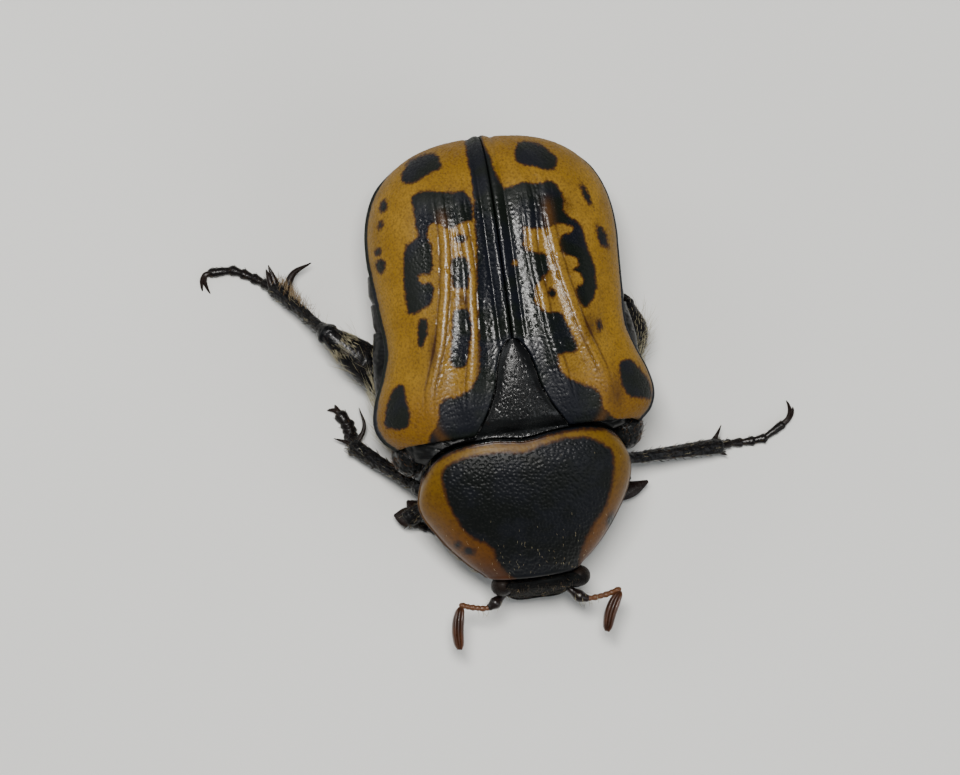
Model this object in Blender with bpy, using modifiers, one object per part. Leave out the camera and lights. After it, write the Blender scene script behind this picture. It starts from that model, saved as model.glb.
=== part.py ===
"""A flower scarab at life size, standing with its legs spread and its head bent down.

Shapes are worked out in millimetres in the beetle's own frame: X to its left, Y to its tail, Z up, the
ground at z = 0 and y = 0 at the hind margin of the pronotum. finish() turns each one into metres, with
the model's origin on the ground under the middle of its box.
"""
import math

import bmesh
import bpy
from mathutils import Vector

MM = 0.001
OBJECT_NAME = "flower_scarab"

# The gap that neighbouring pieces keep, small because the whole beetle is only about 10 mm long
GAP = 0.1

# Places across a section of the body, from its right edge (-1) to its left edge (1)
HALF_ACROSS = (0.07, 0.15, 0.25, 0.4, 0.58, 0.76, 0.9, 0.97, 1.0)
ACROSS = tuple(-s for s in reversed(HALF_ACROSS)) + (0.0,) + HALF_ACROSS

# Wing cases (elytra): half width, height of the suture and height of the side margin, each along Y
ELYTRA_BASE = 0.15
ELYTRA_WIDTH = ((0.15, 2.7), (0.4, 2.96), (0.75, 3.08), (1.2, 3.0), (1.7, 2.8), (2.3, 2.64), (3.2, 2.68),
                (4.3, 2.75))
ELYTRA_CREST = ((0.15, 4.0), (0.4, 4.14), (1.2, 4.32), (2.2, 4.42), (3.2, 4.42), (4.3, 4.38))
ELYTRA_MARGIN = ((0.15, 2.85), (0.75, 2.75), (2.3, 2.98), (4.3, 2.65), (6.8, 2.6))
REAR_START = 4.3
REAR_LENGTH = 2.49
REAR_END = 2.485
REAR_ROUNDNESS = 2.5
DISC_FLATNESS = 2.8
SHELL_THICKNESS = 0.45
ELYTRA_COLUMNS = 12
ELYTRA_FRONT_ROWS = 12
ELYTRA_REAR_ROWS = 9
# The two long ribs of each wing case: how far out each lies, from the suture (0) to the side (1), along Y
COSTAE = (((0.5, 0.36), (1.6, 0.34), (2.8, 0.305), (4.0, 0.262), (5.3, 0.29)),
          ((0.5, 0.64), (1.6, 0.635), (2.5, 0.575), (3.4, 0.49), (4.5, 0.43), (5.5, 0.45)))
COSTA_RISE = 0.08
COSTA_SPREAD = 0.075

# The scutellum, the triangle between the wing cases: half width along Y
SCUTELLUM_WIDTH = ((-0.3, 1.3), (0.1, 1.05), (0.6, 0.72), (1.1, 0.49), (1.5, 0.4), (1.8, 0.31),
                   (2.0, 0.2), (2.15, 0.07))
SCUTELLUM_TIP = 2.15
SCUTELLUM_RISE = 0.06

# Pronotum and the ring of the front thorax under it, from its hind margin (0) to its front margin (1)
PRONOTUM_LENGTH = 3.0
PRONOTUM_WIDTH = ((0.0, 2.15), (0.05, 2.31), (0.12, 2.38), (0.25, 2.35), (0.4, 2.24), (0.55, 2.05),
                  (0.7, 1.79), (0.85, 1.43), (1.0, 1.0))
PRONOTUM_TOP = ((0.0, 4.04), (0.08, 4.06), (0.25, 3.99), (0.5, 3.66), (0.75, 3.14), (1.0, 2.5))
PRONOTUM_EDGE = ((0.0, 2.85), (0.3, 2.6), (0.7, 2.22), (1.0, 1.95))
PRONOTUM_FLOOR = ((0.0, 1.0), (0.3, 0.95), (0.7, 1.15), (1.0, 1.3))
PRONOTUM_FULLNESS = 2.6
PRONOTUM_KEEL = 1.7
MARGIN_BEAD = 0.03
PRONOTUM_RINGS = (0.0, 0.05, 0.12, 0.22, 0.34, 0.46, 0.58, 0.7, 0.81, 0.91, 1.0)
HIND_MARGIN_BACK = 0.05
HIND_CORNER_DROP = 0.75
HIND_CORNER_WIDTH = 2.37
HIND_CORNER_SHARPNESS = 7.0
NOTCH_DEPTH = 0.09
NOTCH_WIDTH = 0.45
FRONT_LEAN = 0.33

# Rear thorax and abdomen: half width and lowest point, each along Y
BODY_WIDTH = ((-0.75, 2.15), (-0.4, 2.36), (0.0, 2.62), (0.4, 2.82), (0.8, 2.9), (1.5, 2.95), (2.2, 2.93),
              (2.7, 2.84), (3.2, 2.8), (3.8, 2.8), (4.8, 2.66), (5.5, 2.36), (6.1, 2.0))
BODY_BOTTOM = ((-0.75, 0.95), (0.5, 0.72), (2.0, 0.65), (3.0, 0.8), (4.5, 0.85), (5.6, 1.02), (6.1, 1.22))
BELLY_FULLNESS = 2.3
THORAX_RINGS = (0.0, 0.12, 0.4, 0.75, 1.15, 1.6, 2.0, 2.4, 2.75)
THORAX_FADE = 0.75
THORAX_FRONT = 0.55
LEDGE_STEP = 0.07
LEDGE_WIDTH = 0.15
COLLAR_STEP = 0.12
# How far out, from 0 to 1, and how far down the flank lies at the last places across a section
FLANK_ROUNDING = {0.97: (0.75, 0.1), 1.0: (1.0, 0.4)}
UNDER_SHELL = 0.06
ABDOMEN_START = 2.85
ABDOMEN_END = 6.0
SEGMENTS = 5
SEGMENT_GROOVE = 0.05
SEGMENT_PROFILE = ((0.0, SEGMENT_GROOVE), (0.25, 0.0), (0.8, 0.0))
PYGIDIUM_END = 6.66
PYGIDIUM_MIDDLE = 2.0
PYGIDIUM_FULLNESS = 2.3
PYGIDIUM_RINGS = 8
PYGIDIUM_CLOSING = 0.95

# Head: levels from its top down to the front lip, as height, half width, front and back along Y. The head
# is held a little to the beetle's left
HEAD_SHIFT = 0.12
HEAD_LEVELS = ((2.36, 0.62, -3.12, -3.06), (2.22, 0.8, -3.21, -3.01), (1.95, 0.89, -3.27, -2.92),
               (1.65, 0.86, -3.31, -2.82), (1.42, 0.77, -3.31, -2.75), (1.18, 0.72, -3.29, -2.72),
               (0.98, 0.7, -3.3, -2.86), (0.84, 0.69, -3.32, -3.06))
HEAD_ROUNDNESS = 3.6
HEAD_SIDES = 24
LIP_PATH = ((-0.63, -3.22, 0.92), (-0.42, -3.3, 0.88), (0.0, -3.32, 0.9), (0.42, -3.3, 0.88),
            (0.63, -3.22, 0.92))
LIP_RADIUS = 0.1
MENTUM_PLACE = (0.0, -2.88, 1.0)
MENTUM_SIZE = (0.48, 0.3, 0.16)
PALP_BASE = (0.34, -2.88, 1.0)
PALP_TIP = (0.5, -3.15, 0.68)
PALP_RADII = (0.13, 0.08)
EYE_PLACE = (0.86, -3.06, 1.86)
EYE_SIZE = (0.27, 0.25, 0.34)

# Coxae, the plates and knobs that carry the legs: centre and half axes
FRONT_COXA = ((0.55, -1.9, 1.08), (0.42, 0.4, 0.3))
MIDDLE_COXA = ((0.95, 0.68, 0.9), (0.5, 0.42, 0.32))
HIND_COXA = ((1.35, 1.5, 0.98), (1.2, 0.42, 0.4))
BREAST_KNOB = ((0.0, 0.35, 0.82), (0.3, 0.42, 0.26))
COXA_SEGMENTS = 12

# Feelers: the stalk from the head to its elbow, and the club from there to its tip
STALK_RADIUS = 0.2
CLUB_RADIUS = 0.22
CLUB_TAPER = 0.8
STALKS = {
    "right": ((-0.62, -3.22, 1.5), (-1.02, -3.48, 1.5), (-1.35, -3.45, 1.54), (-1.64, -3.36, 1.56)),
    "left": ((0.75, -3.25, 1.5), (1.1, -3.54, 1.5), (1.5, -3.55, 1.54), (1.9, -3.46, 1.56)),
}
CLUBS = {
    "right": ((-1.66, -3.48, 1.56), (-1.72, -3.9, 1.5), (-1.79, -4.26, 1.45)),
    "left": ((1.88, -3.58, 1.56), (1.7, -3.94, 1.5), (1.53, -4.28, 1.45)),
}

# Legs: where each femur roots, its knee, its ankle, the path of its tarsus and the tips of its two claws
LEGS = {
    "front_right": {
        "root": (-0.6, -1.75, 1.05), "knee": (-1.5, -0.8, 1.12), "ankle": (-2.46, -1.24, 0.5),
        "tarsus": ((-2.3, -1.36), (-1.95, -1.5), (-1.6, -1.66), (-1.25, -1.85)),
        "claws": ((-0.9, -1.92), (-1.0, -2.15)),
        "teeth": (((-2.2, -1.12, 0.55), (-2.42, -0.85, 0.5)), ((-2.46, -1.2, 0.48), (-2.74, -1.12, 0.42))),
    },
    "front_left": {
        "root": (0.6, -1.75, 1.05), "knee": (1.5, -0.75, 1.12), "ankle": (2.2, -1.3, 0.5),
        "tarsus": ((2.0, -1.42), (1.66, -1.58), (1.32, -1.76), (1.0, -1.98)),
        "claws": ((0.64, -2.08), (0.74, -2.3)),
        "teeth": (((2.1, -1.06, 0.55), (2.6, -0.96, 0.5)), ((2.2, -1.24, 0.5), (2.97, -1.1, 0.5))),
    },
    "middle_right": {
        "root": (-1.0, 0.75, 0.85), "knee": (-2.12, -0.72, 1.4), "ankle": (-3.42, 0.5, 0.45),
        "tarsus": ((-3.44, 0.72), (-3.46, 0.92), (-3.51, 1.1), (-3.6, 1.25)),
        "claws": ((-3.88, 1.42), (-3.7, 1.52)),
        "teeth": (((-3.4, 0.48, 0.42), (-3.84, 0.76, 0.3)), ((-3.36, 0.56, 0.42), (-3.2, 1.36, 0.35)),
                  ((-2.9, 0.05, 0.8), (-3.14, -0.04, 0.75))),
    },
    "middle_left": {
        "root": (1.0, 0.75, 0.85), "knee": (2.3, -0.6, 1.4), "ankle": (4.66, -0.52, 0.45),
        "tarsus": ((4.95, -0.47), (5.42, -0.48), (5.86, -0.42), (6.2, -0.2)),
        "claws": ((6.38, 0.32), (6.5, 0.16)),
        "teeth": (((4.45, -0.48, 0.45), (4.79, -0.06, 0.42)), ((4.6, -0.6, 0.42), (4.84, -0.74, 0.36))),
    },
    "hind_right": {
        "root": (-1.9, 1.2, 0.95), "knee": (-3.72, 2.95, 1.5), "ankle": (-4.72, 4.24, 0.48),
        "tarsus": ((-4.98, 4.45), (-5.32, 4.67), (-5.7, 4.83), (-6.06, 4.8)),
        "claws": ((-6.14, 4.36), (-6.3, 4.44)),
        "teeth": (((-4.5, 4.12, 0.55), (-3.86, 4.7, 0.5)), ((-4.62, 4.18, 0.5), (-4.78, 4.72, 0.55))),
    },
    "hind_left": {
        "root": (2.3, 1.15, 1.0), "knee": (3.0, 2.85, 1.5), "ankle": (2.5, 4.1, 0.48),
        "tarsus": ((2.42, 4.34), (2.3, 4.74), (2.2, 5.14), (2.05, 5.5)),
        "claws": ((1.78, 5.76), (2.08, 5.84)),
        "teeth": (((2.5, 4.05, 0.45), (2.72, 4.5, 0.35)), ((2.44, 4.05, 0.45), (2.1, 4.42, 0.35)),
                  ((2.76, 3.45, 0.95), (2.97, 3.62, 0.85))),
    },
}
FEMUR_RADII = {
    "front": (0.26, 0.36, 0.34, 0.24),
    "middle": (0.26, 0.38, 0.36, 0.24),
    "hind": (0.3, 0.44, 0.44, 0.28),
}
TIBIA_RADII = {
    "front": (0.2, 0.22, 0.25, 0.26),
    "middle": (0.2, 0.21, 0.23, 0.26),
    "hind": (0.2, 0.22, 0.24, 0.27),
}
TARSUS_RADIUS = 0.2
TARSUS_HEIGHT = 0.17
TARSUS_JOINTS = 5
TARSUS_DESCENT = 0.35
JOINT_SWELL = 1.12
JOINT_WAIST = 0.88
CLAW_RADIUS = 0.12
CLAW_TIP_RADIUS = 0.05
CLAW_TIP_HEIGHT = 0.1
CLAW_ARCH = 0.08
GROUND_SIZE = 12.0
TOOTH_RADIUS = 0.14
TOOTH_TIP_RADIUS = 0.045

# Colour as linear RGB, roughness and metallic value of each kind of piece
FINISHES = {
    "wing": ((0.50, 0.20, 0.03), 0.32, 0.0),
    "shield": ((0.42, 0.15, 0.02), 0.4, 0.0),
    "plate": ((0.012, 0.014, 0.018), 0.35, 0.0),
    "eye": ((0.008, 0.008, 0.009), 0.12, 0.0),
    "feeler": ((0.12, 0.035, 0.015), 0.35, 0.0),
    "leg": ((0.014, 0.014, 0.016), 0.38, 0.0),
}


def smooth(stations, at):
    """Reads a smooth curve through a few (place, value) stations."""
    places = [station[0] for station in stations]
    values = [station[1] for station in stations]
    if at <= places[0]:
        return values[0]
    if at >= places[-1]:
        return values[-1]
    index = max(i for i, place in enumerate(places) if place <= at)
    step = places[index + 1] - places[index]
    t = (at - places[index]) / step

    def slope(i):
        low, high = max(i - 1, 0), min(i + 1, len(places) - 1)
        return (values[high] - values[low]) / (places[high] - places[low])

    start, end = values[index], values[index + 1]
    return (start * (2 * t ** 3 - 3 * t ** 2 + 1) + end * (3 * t ** 2 - 2 * t ** 3)
            + slope(index) * step * (t ** 3 - 2 * t ** 2 + t) + slope(index + 1) * step * (t ** 3 - t ** 2))


def dome(fraction, fullness):
    """A rounded fall from 1 in the middle to 0 at the edge; a larger fullness is flatter on top."""
    return max(0.0, 1.0 - abs(fraction) ** fullness) ** (1.0 / fullness)


def spread(count):
    """Even steps from 0 to 1."""
    return [i / (count - 1) for i in range(count)]


def round_angles(count):
    """Even angles round a section, the first half above its middle and the second half below."""
    return [math.pi - 2 * math.pi * (i + 0.5) / count for i in range(count)]


def rear_fraction(y):
    return max(0.0, (y - REAR_START) / REAR_LENGTH)


def elytra_width(y):
    return smooth(ELYTRA_WIDTH, y) * dome(rear_fraction(y), REAR_ROUNDNESS)


def elytra_margin(y):
    return smooth(ELYTRA_MARGIN, y)


def elytra_crest(y):
    margin = elytra_margin(y)
    return margin + (smooth(ELYTRA_CREST, y) - margin) * dome(rear_fraction(y), REAR_ROUNDNESS)


def costa_height(fraction, y):
    """How far the long ribs of a wing case stand out, fading out at both ends."""
    fade = min(1.0, max(0.0, (y - ELYTRA_BASE) / 0.6)) * dome(rear_fraction(y), 1.5)
    ribs = sum(math.exp(-((fraction - smooth(costa, y)) / COSTA_SPREAD) ** 2) for costa in COSTAE)
    return COSTA_RISE * fade * ribs


def elytra_height(x, y):
    """Height of the wing cases' outer surface."""
    fraction = min(1.0, abs(x) / elytra_width(y))
    margin = elytra_margin(y)
    rise = elytra_crest(y) - margin
    return margin + rise * dome(fraction, DISC_FLATNESS) + costa_height(fraction, y)


def scutellum_width(y):
    return smooth(SCUTELLUM_WIDTH, y)


def hind_margin(x):
    """Y of the pronotum's hind margin, with round corners and a notch before the scutellum."""
    corner = HIND_CORNER_DROP * min(1.0, abs(x) / HIND_CORNER_WIDTH) ** HIND_CORNER_SHARPNESS
    notch = NOTCH_DEPTH * math.exp(-(x / NOTCH_WIDTH) ** 2)
    return HIND_MARGIN_BACK - corner - notch


def neck_plane(z):
    """Y of the front face of the front thorax, which leans back below its upper margin."""
    return -PRONOTUM_LENGTH + FRONT_LEAN * (PRONOTUM_TOP[-1][1] - z)


def object_from(mesh_builder, name):
    """Closes a bmesh into an object in the scene, with its faces pointing out."""
    bmesh.ops.recalc_face_normals(mesh_builder, faces=mesh_builder.faces)
    mesh = bpy.data.meshes.new(name)
    mesh_builder.to_mesh(mesh)
    mesh_builder.free()
    made = bpy.data.objects.new(name, mesh)
    bpy.context.scene.collection.objects.link(made)
    return made


def loft(name, rings):
    """A closed solid through rings of equally many points. Each ring runs along its upper side and back
    along its lower side, and strips between the two sides close both ends."""
    builder = bmesh.new()
    rows = [[builder.verts.new(point) for point in ring] for ring in rings]
    count = len(rows[0])
    for row, following in zip(rows, rows[1:]):
        for i in range(count):
            j = (i + 1) % count
            builder.faces.new((row[i], row[j], following[j], following[i]))
    for row in (rows[0], rows[-1]):
        for i in range(count // 2 - 1):
            builder.faces.new((row[i], row[i + 1], row[count - 2 - i], row[count - 1 - i]))
    bmesh.ops.triangulate(builder, faces=builder.faces)
    return object_from(builder, name)


def evaluated_copy(thing, name):
    """A plain mesh object of what the modifiers or the curve of another one make; the other goes."""
    bpy.context.view_layer.update()
    graph = bpy.context.evaluated_depsgraph_get()
    mesh = bpy.data.meshes.new_from_object(thing.evaluated_get(graph))
    builder = bmesh.new()
    builder.from_mesh(mesh)
    builder.transform(thing.matrix_world)
    bmesh.ops.remove_doubles(builder, verts=builder.verts, dist=0.0001)
    bpy.data.meshes.remove(mesh)
    bpy.data.objects.remove(thing)
    return object_from(builder, name)


def limb(name, points, radii, resolution=2):
    """A tapering round limb along a path, with slightly rounded ends."""
    places = [Vector(point) for point in points]
    first = (places[0] - places[1]).normalized() * radii[0] * 0.45
    last = (places[-1] - places[-2]).normalized() * radii[-1] * 0.45
    places = [places[0] + first] + places + [places[-1] + last]
    widths = [radii[0] * 0.65] + list(radii) + [radii[-1] * 0.65]
    curve = bpy.data.curves.new(name, "CURVE")
    curve.dimensions = "3D"
    curve.bevel_depth = 1.0
    curve.bevel_resolution = resolution
    curve.use_fill_caps = True
    spline = curve.splines.new("POLY")
    spline.points.add(len(places) - 1)
    for point, place, width in zip(spline.points, places, widths):
        point.co = (*place, 1.0)
        point.radius = width
    tube = bpy.data.objects.new(name, curve)
    bpy.context.scene.collection.objects.link(tube)
    return evaluated_copy(tube, name)


def ball(name, place, size, segments=14):
    """A rounded lump of three half axes."""
    rings = segments // 2 + 1
    bpy.ops.mesh.primitive_uv_sphere_add(segments=segments, ring_count=rings, radius=1.0, location=place)
    made = bpy.context.object
    made.scale = size
    return evaluated_copy(made, name)


def keep_largest(thing):
    """Drops all but the largest closed surface of a mesh."""
    builder = bmesh.new()
    builder.from_mesh(thing.data)
    unseen = set(builder.faces)
    surfaces = []
    while unseen:
        surface = [unseen.pop()]
        for face in surface:
            for edge in face.edges:
                for other in edge.link_faces:
                    if other in unseen:
                        unseen.discard(other)
                        surface.append(other)
        surfaces.append(surface)
    surfaces.sort(key=len)
    scraps = [face for surface in surfaces[:-1] for face in surface]
    bmesh.ops.delete(builder, geom=scraps, context="FACES")
    builder.to_mesh(thing.data)
    builder.free()


def combine(name, body, others, operation):
    """Joins or cuts a piece with several others, which are then removed."""
    group = bpy.data.collections.new(name + "_" + operation.lower())
    bpy.context.scene.collection.children.link(group)
    for other in others:
        group.objects.link(other)
    boolean = body.modifiers.new("combine", "BOOLEAN")
    boolean.operand_type = "COLLECTION"
    boolean.collection = group
    boolean.operation = operation
    boolean.solver = "EXACT"
    made = evaluated_copy(body, name)
    for other in others:
        bpy.data.objects.remove(other)
    bpy.data.collections.remove(group)
    keep_largest(made)
    return made


def cut(thing, rooms):
    """Takes the room that its neighbours need out of a piece."""
    for room in rooms:
        room.hide_render = True
        room.display_type = "WIRE"
    return combine(thing.name, thing, rooms, "DIFFERENCE")


def elytron(name, side, room=0.0):
    """One wing case: a curved shell from the suture down to the side margin."""
    stations = [ELYTRA_BASE + (REAR_START - ELYTRA_BASE) * t ** 1.5 for t in spread(ELYTRA_FRONT_ROWS)]
    stations += [REAR_START + REAR_END * math.sin(t * math.pi / 2) for t in spread(ELYTRA_REAR_ROWS)[1:]]
    stations[0] -= room
    stations[-1] += room
    builder = bmesh.new()
    rows = []
    for y in stations:
        width = elytra_width(min(y, REAR_START + REAR_END)) + room
        inner = GAP / 2 if y > SCUTELLUM_TIP else max(GAP / 2, scutellum_width(y) + GAP)
        inner -= 2 * room
        points = []
        for t in spread(ELYTRA_COLUMNS):
            x = inner + (width - inner) * math.sin(t * math.pi / 2) ** 0.9
            height = elytra_height(max(0.0, x), min(y, REAR_START + REAR_END))
            points.append((side * x, y, height + room))
        points[-1] = (side * width, y, elytra_margin(y) - room)
        rows.append([builder.verts.new(point) for point in points])
    for row, following in zip(rows, rows[1:]):
        for i in range(ELYTRA_COLUMNS - 1):
            corners = (row[i], row[i + 1], following[i + 1], following[i])
            builder.faces.new(corners if side > 0 else corners[::-1])
    mesh = bpy.data.meshes.new(name)
    builder.to_mesh(mesh)
    builder.free()
    made = bpy.data.objects.new(name, mesh)
    bpy.context.scene.collection.objects.link(made)
    shell = made.modifiers.new("shell", "SOLIDIFY")
    shell.thickness = SHELL_THICKNESS + 2 * room
    shell.offset = -1.0
    return evaluated_copy(made, name)


def scutellum(name, room=0.0):
    """The black triangle between the bases of the wing cases."""
    rings = []
    for t in spread(8):
        width = scutellum_width(0.1 + (SCUTELLUM_TIP - 0.1) * t) + room
        upper = []
        for s in ACROSS:
            x = width * s
            start = hind_margin(x) + GAP - room
            y = start + (SCUTELLUM_TIP + room - start) * t
            bulge = SCUTELLUM_RISE * (1 - s * s)
            upper.append((x, y, elytra_height(x, max(y, ELYTRA_BASE)) + bulge + room))
        lower = [(x, y, z - SHELL_THICKNESS - 2 * room) for x, y, z in reversed(upper)]
        rings.append(upper + lower)
    return loft(name, rings)


def pronotum(name):
    """The front thorax: a domed shield above, narrowing to the breast below."""
    rings = []
    for v in PRONOTUM_RINGS:
        width = smooth(PRONOTUM_WIDTH, v)
        top, edge, floor = (smooth(line, v) for line in (PRONOTUM_TOP, PRONOTUM_EDGE, PRONOTUM_FLOOR))
        upper, lower = [], []
        for s in ACROSS:
            heights = (edge + MARGIN_BEAD + (top - edge - MARGIN_BEAD) * dome(s, PRONOTUM_FULLNESS),
                       edge - MARGIN_BEAD - (edge - MARGIN_BEAD - floor) * dome(s, PRONOTUM_KEEL))
            for side, z in zip((upper, lower), heights):
                x = width * s
                y = hind_margin(x) * (1 - v) + neck_plane(z) * v ** 4 - PRONOTUM_LENGTH * (v - v ** 4)
                side.append((x, y, z))
        rings.append(upper + lower[::-1])
    return loft(name, rings)


def body_sides(y, shrink=0.0):
    """The two sides of a section of the rear thorax or abdomen: the dome under the wing cases, ending in
    a rounded flank, and the round belly."""
    width = smooth(BODY_WIDTH, y) - shrink
    bottom = smooth(BODY_BOTTOM, y) + shrink
    under = max(y, ELYTRA_BASE)
    waist = elytra_margin(under) - GAP - LEDGE_STEP
    inner = min(width, elytra_width(under)) - LEDGE_WIDTH
    widest = waist - FLANK_ROUNDING[1.0][1]
    upper, lower = [], []
    for s in ACROSS:
        out, down = FLANK_ROUNDING.get(abs(s), (0.0, 0.0))
        x = inner * s + (width * s - inner * s) * out
        shell = elytra_height(inner * s, under) - UNDER_SHELL
        upper.append((x, y, waist - down if down else max(waist, shell)))
        lower.append((width * s, y, widest - (widest - bottom) * dome(s, BELLY_FULLNESS)))
    return upper, lower[::-1]


def thorax(name):
    """The rear thorax, from the hind margin of the pronotum back to the abdomen. In front of the wing
    cases it slopes down to the pronotum's hind margin."""
    edge, top = PRONOTUM_EDGE[0][1], PRONOTUM_TOP[0][1]
    rings = []
    for y in THORAX_RINGS:
        fade = max(0.0, 1.0 - y / THORAX_FADE)
        upper, lower = body_sides(y - THORAX_FRONT * fade)
        sloped = []
        for x, _, z in upper:
            rise = (top - edge) * dome(min(1.0, abs(x) / HIND_CORNER_WIDTH), PRONOTUM_FULLNESS)
            collar = edge + rise - COLLAR_STEP
            sloped.append((x, y, z + (min(z, collar) - z) * fade ** 2))
        rings.append([(x, y + (hind_margin(x) + GAP) * fade, z) for x, _, z in sloped + lower])
    return loft(name, rings)


def abdomen(name):
    """The abdomen, with a shallow groove between its segments."""
    rings = []
    length = (ABDOMEN_END - ABDOMEN_START) / SEGMENTS
    for segment in range(SEGMENTS):
        start = ABDOMEN_START + segment * length
        for part, shrink in SEGMENT_PROFILE:
            upper, lower = body_sides(start + part * length, shrink)
            rings.append(upper + lower)
    upper, lower = body_sides(ABDOMEN_END, SEGMENT_GROOVE)
    rings.append(upper + lower)
    return loft(name, rings)


def pygidium(name):
    """The last plate of the back, which closes the abdomen and bulges below the tips of the wing cases."""
    start = ABDOMEN_END + GAP
    ceiling = elytra_margin(start) - GAP - LEDGE_STEP
    upper, lower = body_sides(start, SEGMENT_GROOVE)
    rings = []
    for t in spread(PYGIDIUM_RINGS):
        along = math.sin(t * PYGIDIUM_CLOSING * math.pi / 2)
        y = start + (PYGIDIUM_END - start) * along
        scale = dome(along, PYGIDIUM_FULLNESS)
        ring = []
        for x, _, z in upper + lower:
            ring.append((x * scale, y, PYGIDIUM_MIDDLE + (min(z, ceiling) - PYGIDIUM_MIDDLE) * scale))
        rings.append(ring)
    return loft(name, rings)


def in_head(place, side=1):
    """A place given from the head's own middle plane, on either side of it."""
    return (HEAD_SHIFT + side * place[0], *place[1:])


def head_ring(level):
    """One level of the head, a rounded rectangle seen from above; its front side comes first."""
    z, width, front, back = level
    middle, depth = (front + back) / 2, (back - front) / 2
    ring = []
    for angle in round_angles(HEAD_SIDES):
        across = math.copysign(abs(math.cos(angle)) ** (2 / HEAD_ROUNDNESS), math.cos(angle))
        along = math.copysign(abs(math.sin(angle)) ** (2 / HEAD_ROUNDNESS), math.sin(angle))
        ring.append((HEAD_SHIFT + width * across, middle - depth * along, z))
    return ring


def head(name):
    """The head, bent down, with its square clypeus ending in a raised lip, chin plate and two palps."""
    skull = loft(name, [head_ring(level) for level in HEAD_LEVELS])
    pieces = [limb("lip", [in_head(place) for place in LIP_PATH], [LIP_RADIUS] * len(LIP_PATH), 1)]
    pieces.append(ball("mentum", in_head(MENTUM_PLACE), MENTUM_SIZE))
    for side in (-1, 1):
        ends = [in_head(place, side) for place in (PALP_BASE, PALP_TIP)]
        pieces.append(limb("palp", ends, PALP_RADII, 1))
    return combine(name, skull, pieces, "UNION")


def eye(name, side, room=0.0):
    return ball(name, in_head(EYE_PLACE, side), [half + room for half in EYE_SIZE])


def between(start, end, fraction):
    return Vector(start).lerp(Vector(end), fraction)


def swollen(radii, room):
    return [radius + room for radius in radii]


def femur(name, leg, kind, room=0.0):
    """The thick upper limb, with its root set in the breast."""
    points = [between(leg["root"], leg["knee"], t) for t in (0.0, 0.35, 0.7, 0.96)]
    return limb(name, points, swollen(FEMUR_RADII[kind], room))


def tibia_pieces(leg, kind, room=0.0):
    """The shaft of the lower limb, and its teeth and spurs."""
    points = [between(leg["knee"], leg["ankle"], t) for t in (0.04, 0.35, 0.7, 1.0)]
    pieces = [limb("shaft", points, swollen(TIBIA_RADII[kind], room))]
    for tooth in leg["teeth"]:
        pieces.append(limb("tooth", tooth, swollen((TOOTH_RADIUS, TOOTH_TIP_RADIUS), room), 1))
    return pieces


def tibia(name, leg, kind):
    shaft, *teeth = tibia_pieces(leg, kind)
    return combine(name, shaft, teeth, "UNION")


def foot_path(leg):
    """Points along a foot: down from the ankle in a curve and then flat along the ground."""
    ankle = Vector(leg["ankle"])
    corners = [ankle.xy] + [Vector(corner) for corner in leg["tarsus"]]
    steps = 2 * TARSUS_JOINTS + 1
    path = []
    for i in range(1, steps + 1):
        place = i / steps * (len(corners) - 1)
        index = min(int(place), len(corners) - 2)
        x, y = corners[index].lerp(corners[index + 1], place - index)
        drop = max(0.0, 1.0 - (i - 1) / steps / TARSUS_DESCENT) ** 2
        path.append(Vector((x, y, TARSUS_HEIGHT + (ankle.z - TARSUS_HEIGHT) * 0.75 * drop)))
    return path


def foot_tube(name, leg, room=0.0):
    path = foot_path(leg)
    radii = [TARSUS_RADIUS * (JOINT_WAIST if i % 2 else JOINT_SWELL) for i in range(len(path))]
    return limb(name, path, swollen(radii, room))


def tarsus(name, leg):
    """The five-jointed foot with two claws, flat where it rests on the ground."""
    end = foot_path(leg)[-1]
    claws = []
    for x, y in leg["claws"]:
        tip = Vector((x, y, CLAW_TIP_HEIGHT))
        knuckle = end.lerp(tip, 0.5) + Vector((0.0, 0.0, CLAW_ARCH))
        claws.append(limb("claw", (end, knuckle, tip), (CLAW_RADIUS, CLAW_RADIUS, CLAW_TIP_RADIUS), 1))
    foot = combine(name, foot_tube(name, leg), claws, "UNION")
    bpy.ops.mesh.primitive_cube_add(size=GROUND_SIZE, location=(end.x, end.y, -GROUND_SIZE / 2))
    return combine(name, foot, [evaluated_copy(bpy.context.object, "ground")], "DIFFERENCE")


def paint(thing, colour, roughness, metallic):
    """Gives a piece a material of its own."""
    material = bpy.data.materials.new(thing.name)
    material.use_nodes = True
    shader = material.node_tree.nodes["Principled BSDF"]
    shader.inputs["Base Color"].default_value = (*colour, 1.0)
    shader.inputs["Roughness"].default_value = roughness
    shader.inputs["Metallic"].default_value = metallic
    material.diffuse_color = (*colour, 1.0)
    thing.data.materials.clear()
    thing.data.materials.append(material)


def box_middle(things):
    """The point on the ground under the middle of the box that holds all the pieces."""
    corners = [vert.co for thing in things for vert in thing.data.vertices]
    ends = [Vector((end(co.x for co in corners), end(co.y for co in corners), 0.0)) for end in (min, max)]
    return (ends[0] + ends[1]) / 2


def finish(thing, pivot, middle, collection, parent):
    """Turns a piece into metres about its own pivot and puts it in its place."""
    pivot = Vector(pivot)
    for vert in thing.data.vertices:
        vert.co = (vert.co - pivot) * MM
    thing.location = (pivot - middle) * MM
    thing.parent = parent
    thing.data.shade_smooth()
    thing.data.set_sharp_from_angle(angle=math.radians(40))
    bpy.context.scene.collection.objects.unlink(thing)
    collection.objects.link(thing)


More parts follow.
